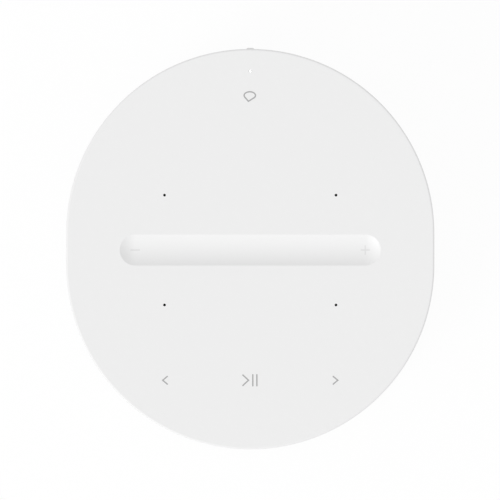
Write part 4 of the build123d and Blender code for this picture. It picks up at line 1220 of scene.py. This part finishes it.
@dataclass
class Studio:
    """A white floor and sky, one soft key from the front left and a long lens straight above."""

    lens: float = 1000.0
    sensor: float = 36.0
    picture_half: float = 81.5
    centre_x: float = -0.08
    centre_y: float = -0.28
    sky: float = 0.83
    key: float = 1.08
    key_towards: tuple[float, float, float] = (0.77, 0.64, -0.58)
    key_spread: float = 25.0
    floor_size: float = 30000.0
    floor_glow: float = 0.93
    white: str = "#ffffff"
    bounce: str = "#c8c8c8"
    clip_end: float = 100000.0

    @staticmethod
    def split(tree: bpy.types.NodeTree, light: bpy.types.Node, view: bpy.types.Node) -> bpy.types.NodeSocket:
        """Adds a mix of what lights the object and what the eye, a gloss or a glass sees directly.

        Args:
            tree: The node tree.
            light: The shader that lights the object.
            view: The shader that is seen.

        Returns:
            The mix's socket.
        """
        path = add_node(tree, "ShaderNodeLightPath")
        gloss = add_node(tree, "ShaderNodeMath", {"operation": "MAXIMUM"}, _0=path.outputs["Is Camera Ray"],
                         _1=path.outputs["Is Glossy Ray"])
        seen = add_node(tree, "ShaderNodeMath", {"operation": "MAXIMUM"}, _0=gloss.outputs[0],
                        _1=path.outputs["Is Transmission Ray"])
        mix = add_node(tree, "ShaderNodeMixShader", None, _0=seen.outputs[0], _1=light.outputs[0],
                       _2=view.outputs[0])
        return mix.outputs[0]

    def world(self) -> None:
        """Makes the sky: white to the eye, and a plain even light on the object."""
        world = bpy.data.worlds.new("white_sky")
        bpy.context.scene.world = world
        tree = empty_tree(world)
        light = add_node(tree, "ShaderNodeBackground", None, Color=linear(self.white), Strength=self.sky)
        view = add_node(tree, "ShaderNodeBackground", None, Color=linear(self.white), Strength=1.0)
        add_node(tree, "ShaderNodeOutputWorld", None, Surface=self.split(tree, light, view))

    def floor(self) -> None:
        """Lays the floor: white to the eye with a matt share that keeps the shadow, and grey as a bounce."""
        half = self.floor_size / 2
        flat = np.array([(-half, -half, 0), (half, -half, 0), (half, half, 0), (-half, half, 0)], float)
        made = make_object("floor", flat, np.arange(4), np.array([4]), WHITE_ABS)
        paper = bpy.data.materials.new("pale_paper_sweep")
        tree = empty_tree(paper)
        grey = add_node(tree, "ShaderNodeBsdfDiffuse", None, Color=linear(self.bounce))
        white = add_node(tree, "ShaderNodeBsdfDiffuse", None, Color=linear(self.white))
        glow = add_node(tree, "ShaderNodeEmission", None, Color=linear(self.white), Strength=1.0)
        view = add_node(tree, "ShaderNodeMixShader", None, _0=self.floor_glow, _1=white.outputs[0],
                        _2=glow.outputs[0])
        add_node(tree, "ShaderNodeOutputMaterial", None, Surface=self.split(tree, grey, view))
        made.data.materials.clear()
        made.data.materials.append(paper)

    def lamp(self) -> None:
        """Hangs the key: a broad sun that gives the trough its bright and dark slopes."""
        light = bpy.data.lights.new("key", "SUN")
        light.energy = self.key
        light.angle = math.radians(self.key_spread)
        made = place_object("key", light)
        aim = np.array(self.key_towards) / np.linalg.norm(self.key_towards)
        made.rotation_mode = "QUATERNION"
        made.rotation_quaternion = Vector(aim).to_track_quat("-Z", "Y")

    def camera(self, top: float) -> None:
        """Puts the camera straight above, so that the picture's half width spans the panel's plane.

        The distance is the half width times the lens over half the sensor.

        Args:
            top: The panel's height.
        """
        data = bpy.data.cameras.new("plan_view")
        data.lens = self.lens
        data.sensor_width = self.sensor
        data.clip_end = self.clip_end * MM
        made = place_object("plan_view", data)
        distance = self.picture_half * self.lens / (self.sensor / 2)
        made.location = (self.centre_x * MM, self.centre_y * MM, (top + distance) * MM)
        bpy.context.scene.camera = made

    def build(self, top: float) -> None:
        """Sets up the view, the light and the floor.

        Args:
            top: The panel's height.
        """
        bpy.context.scene.view_settings.view_transform = "Standard"
        self.world()
        self.floor()
        self.lamp()
        self.camera(top)


def dress_nodes() -> None:
    """Gives every CAD node its finish, black ABS where none is named."""
    finishes = {node: finish for finish, nodes in NODE_FINISHES.items() for node in nodes}
    for name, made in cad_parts.items():
        finish = finishes.get(name, BLACK_ABS)
        made.data.materials.clear()
        made.data.materials.append(finish.material())
        LOG.info("%s: %s", name, finish.name)


def main() -> None:
    """Builds the classes in order."""
    logging.basicConfig(level=logging.INFO, format="%(name)s %(message)s")
    low, high = millimetres("top_panel")
    rear = millimetres("rear_spine")[1][1]
    oval = Oval(high[0] - low[0], 2 * rear)
    dress_nodes()
    TopPanel(oval).build()
    Grille(oval).build()
    Foot(oval).build()
    SpinePrint(oval).build()
    spider().build()
    surround().build()
    Studio().build(high[2])


if __name__ == "__main__":
    main()
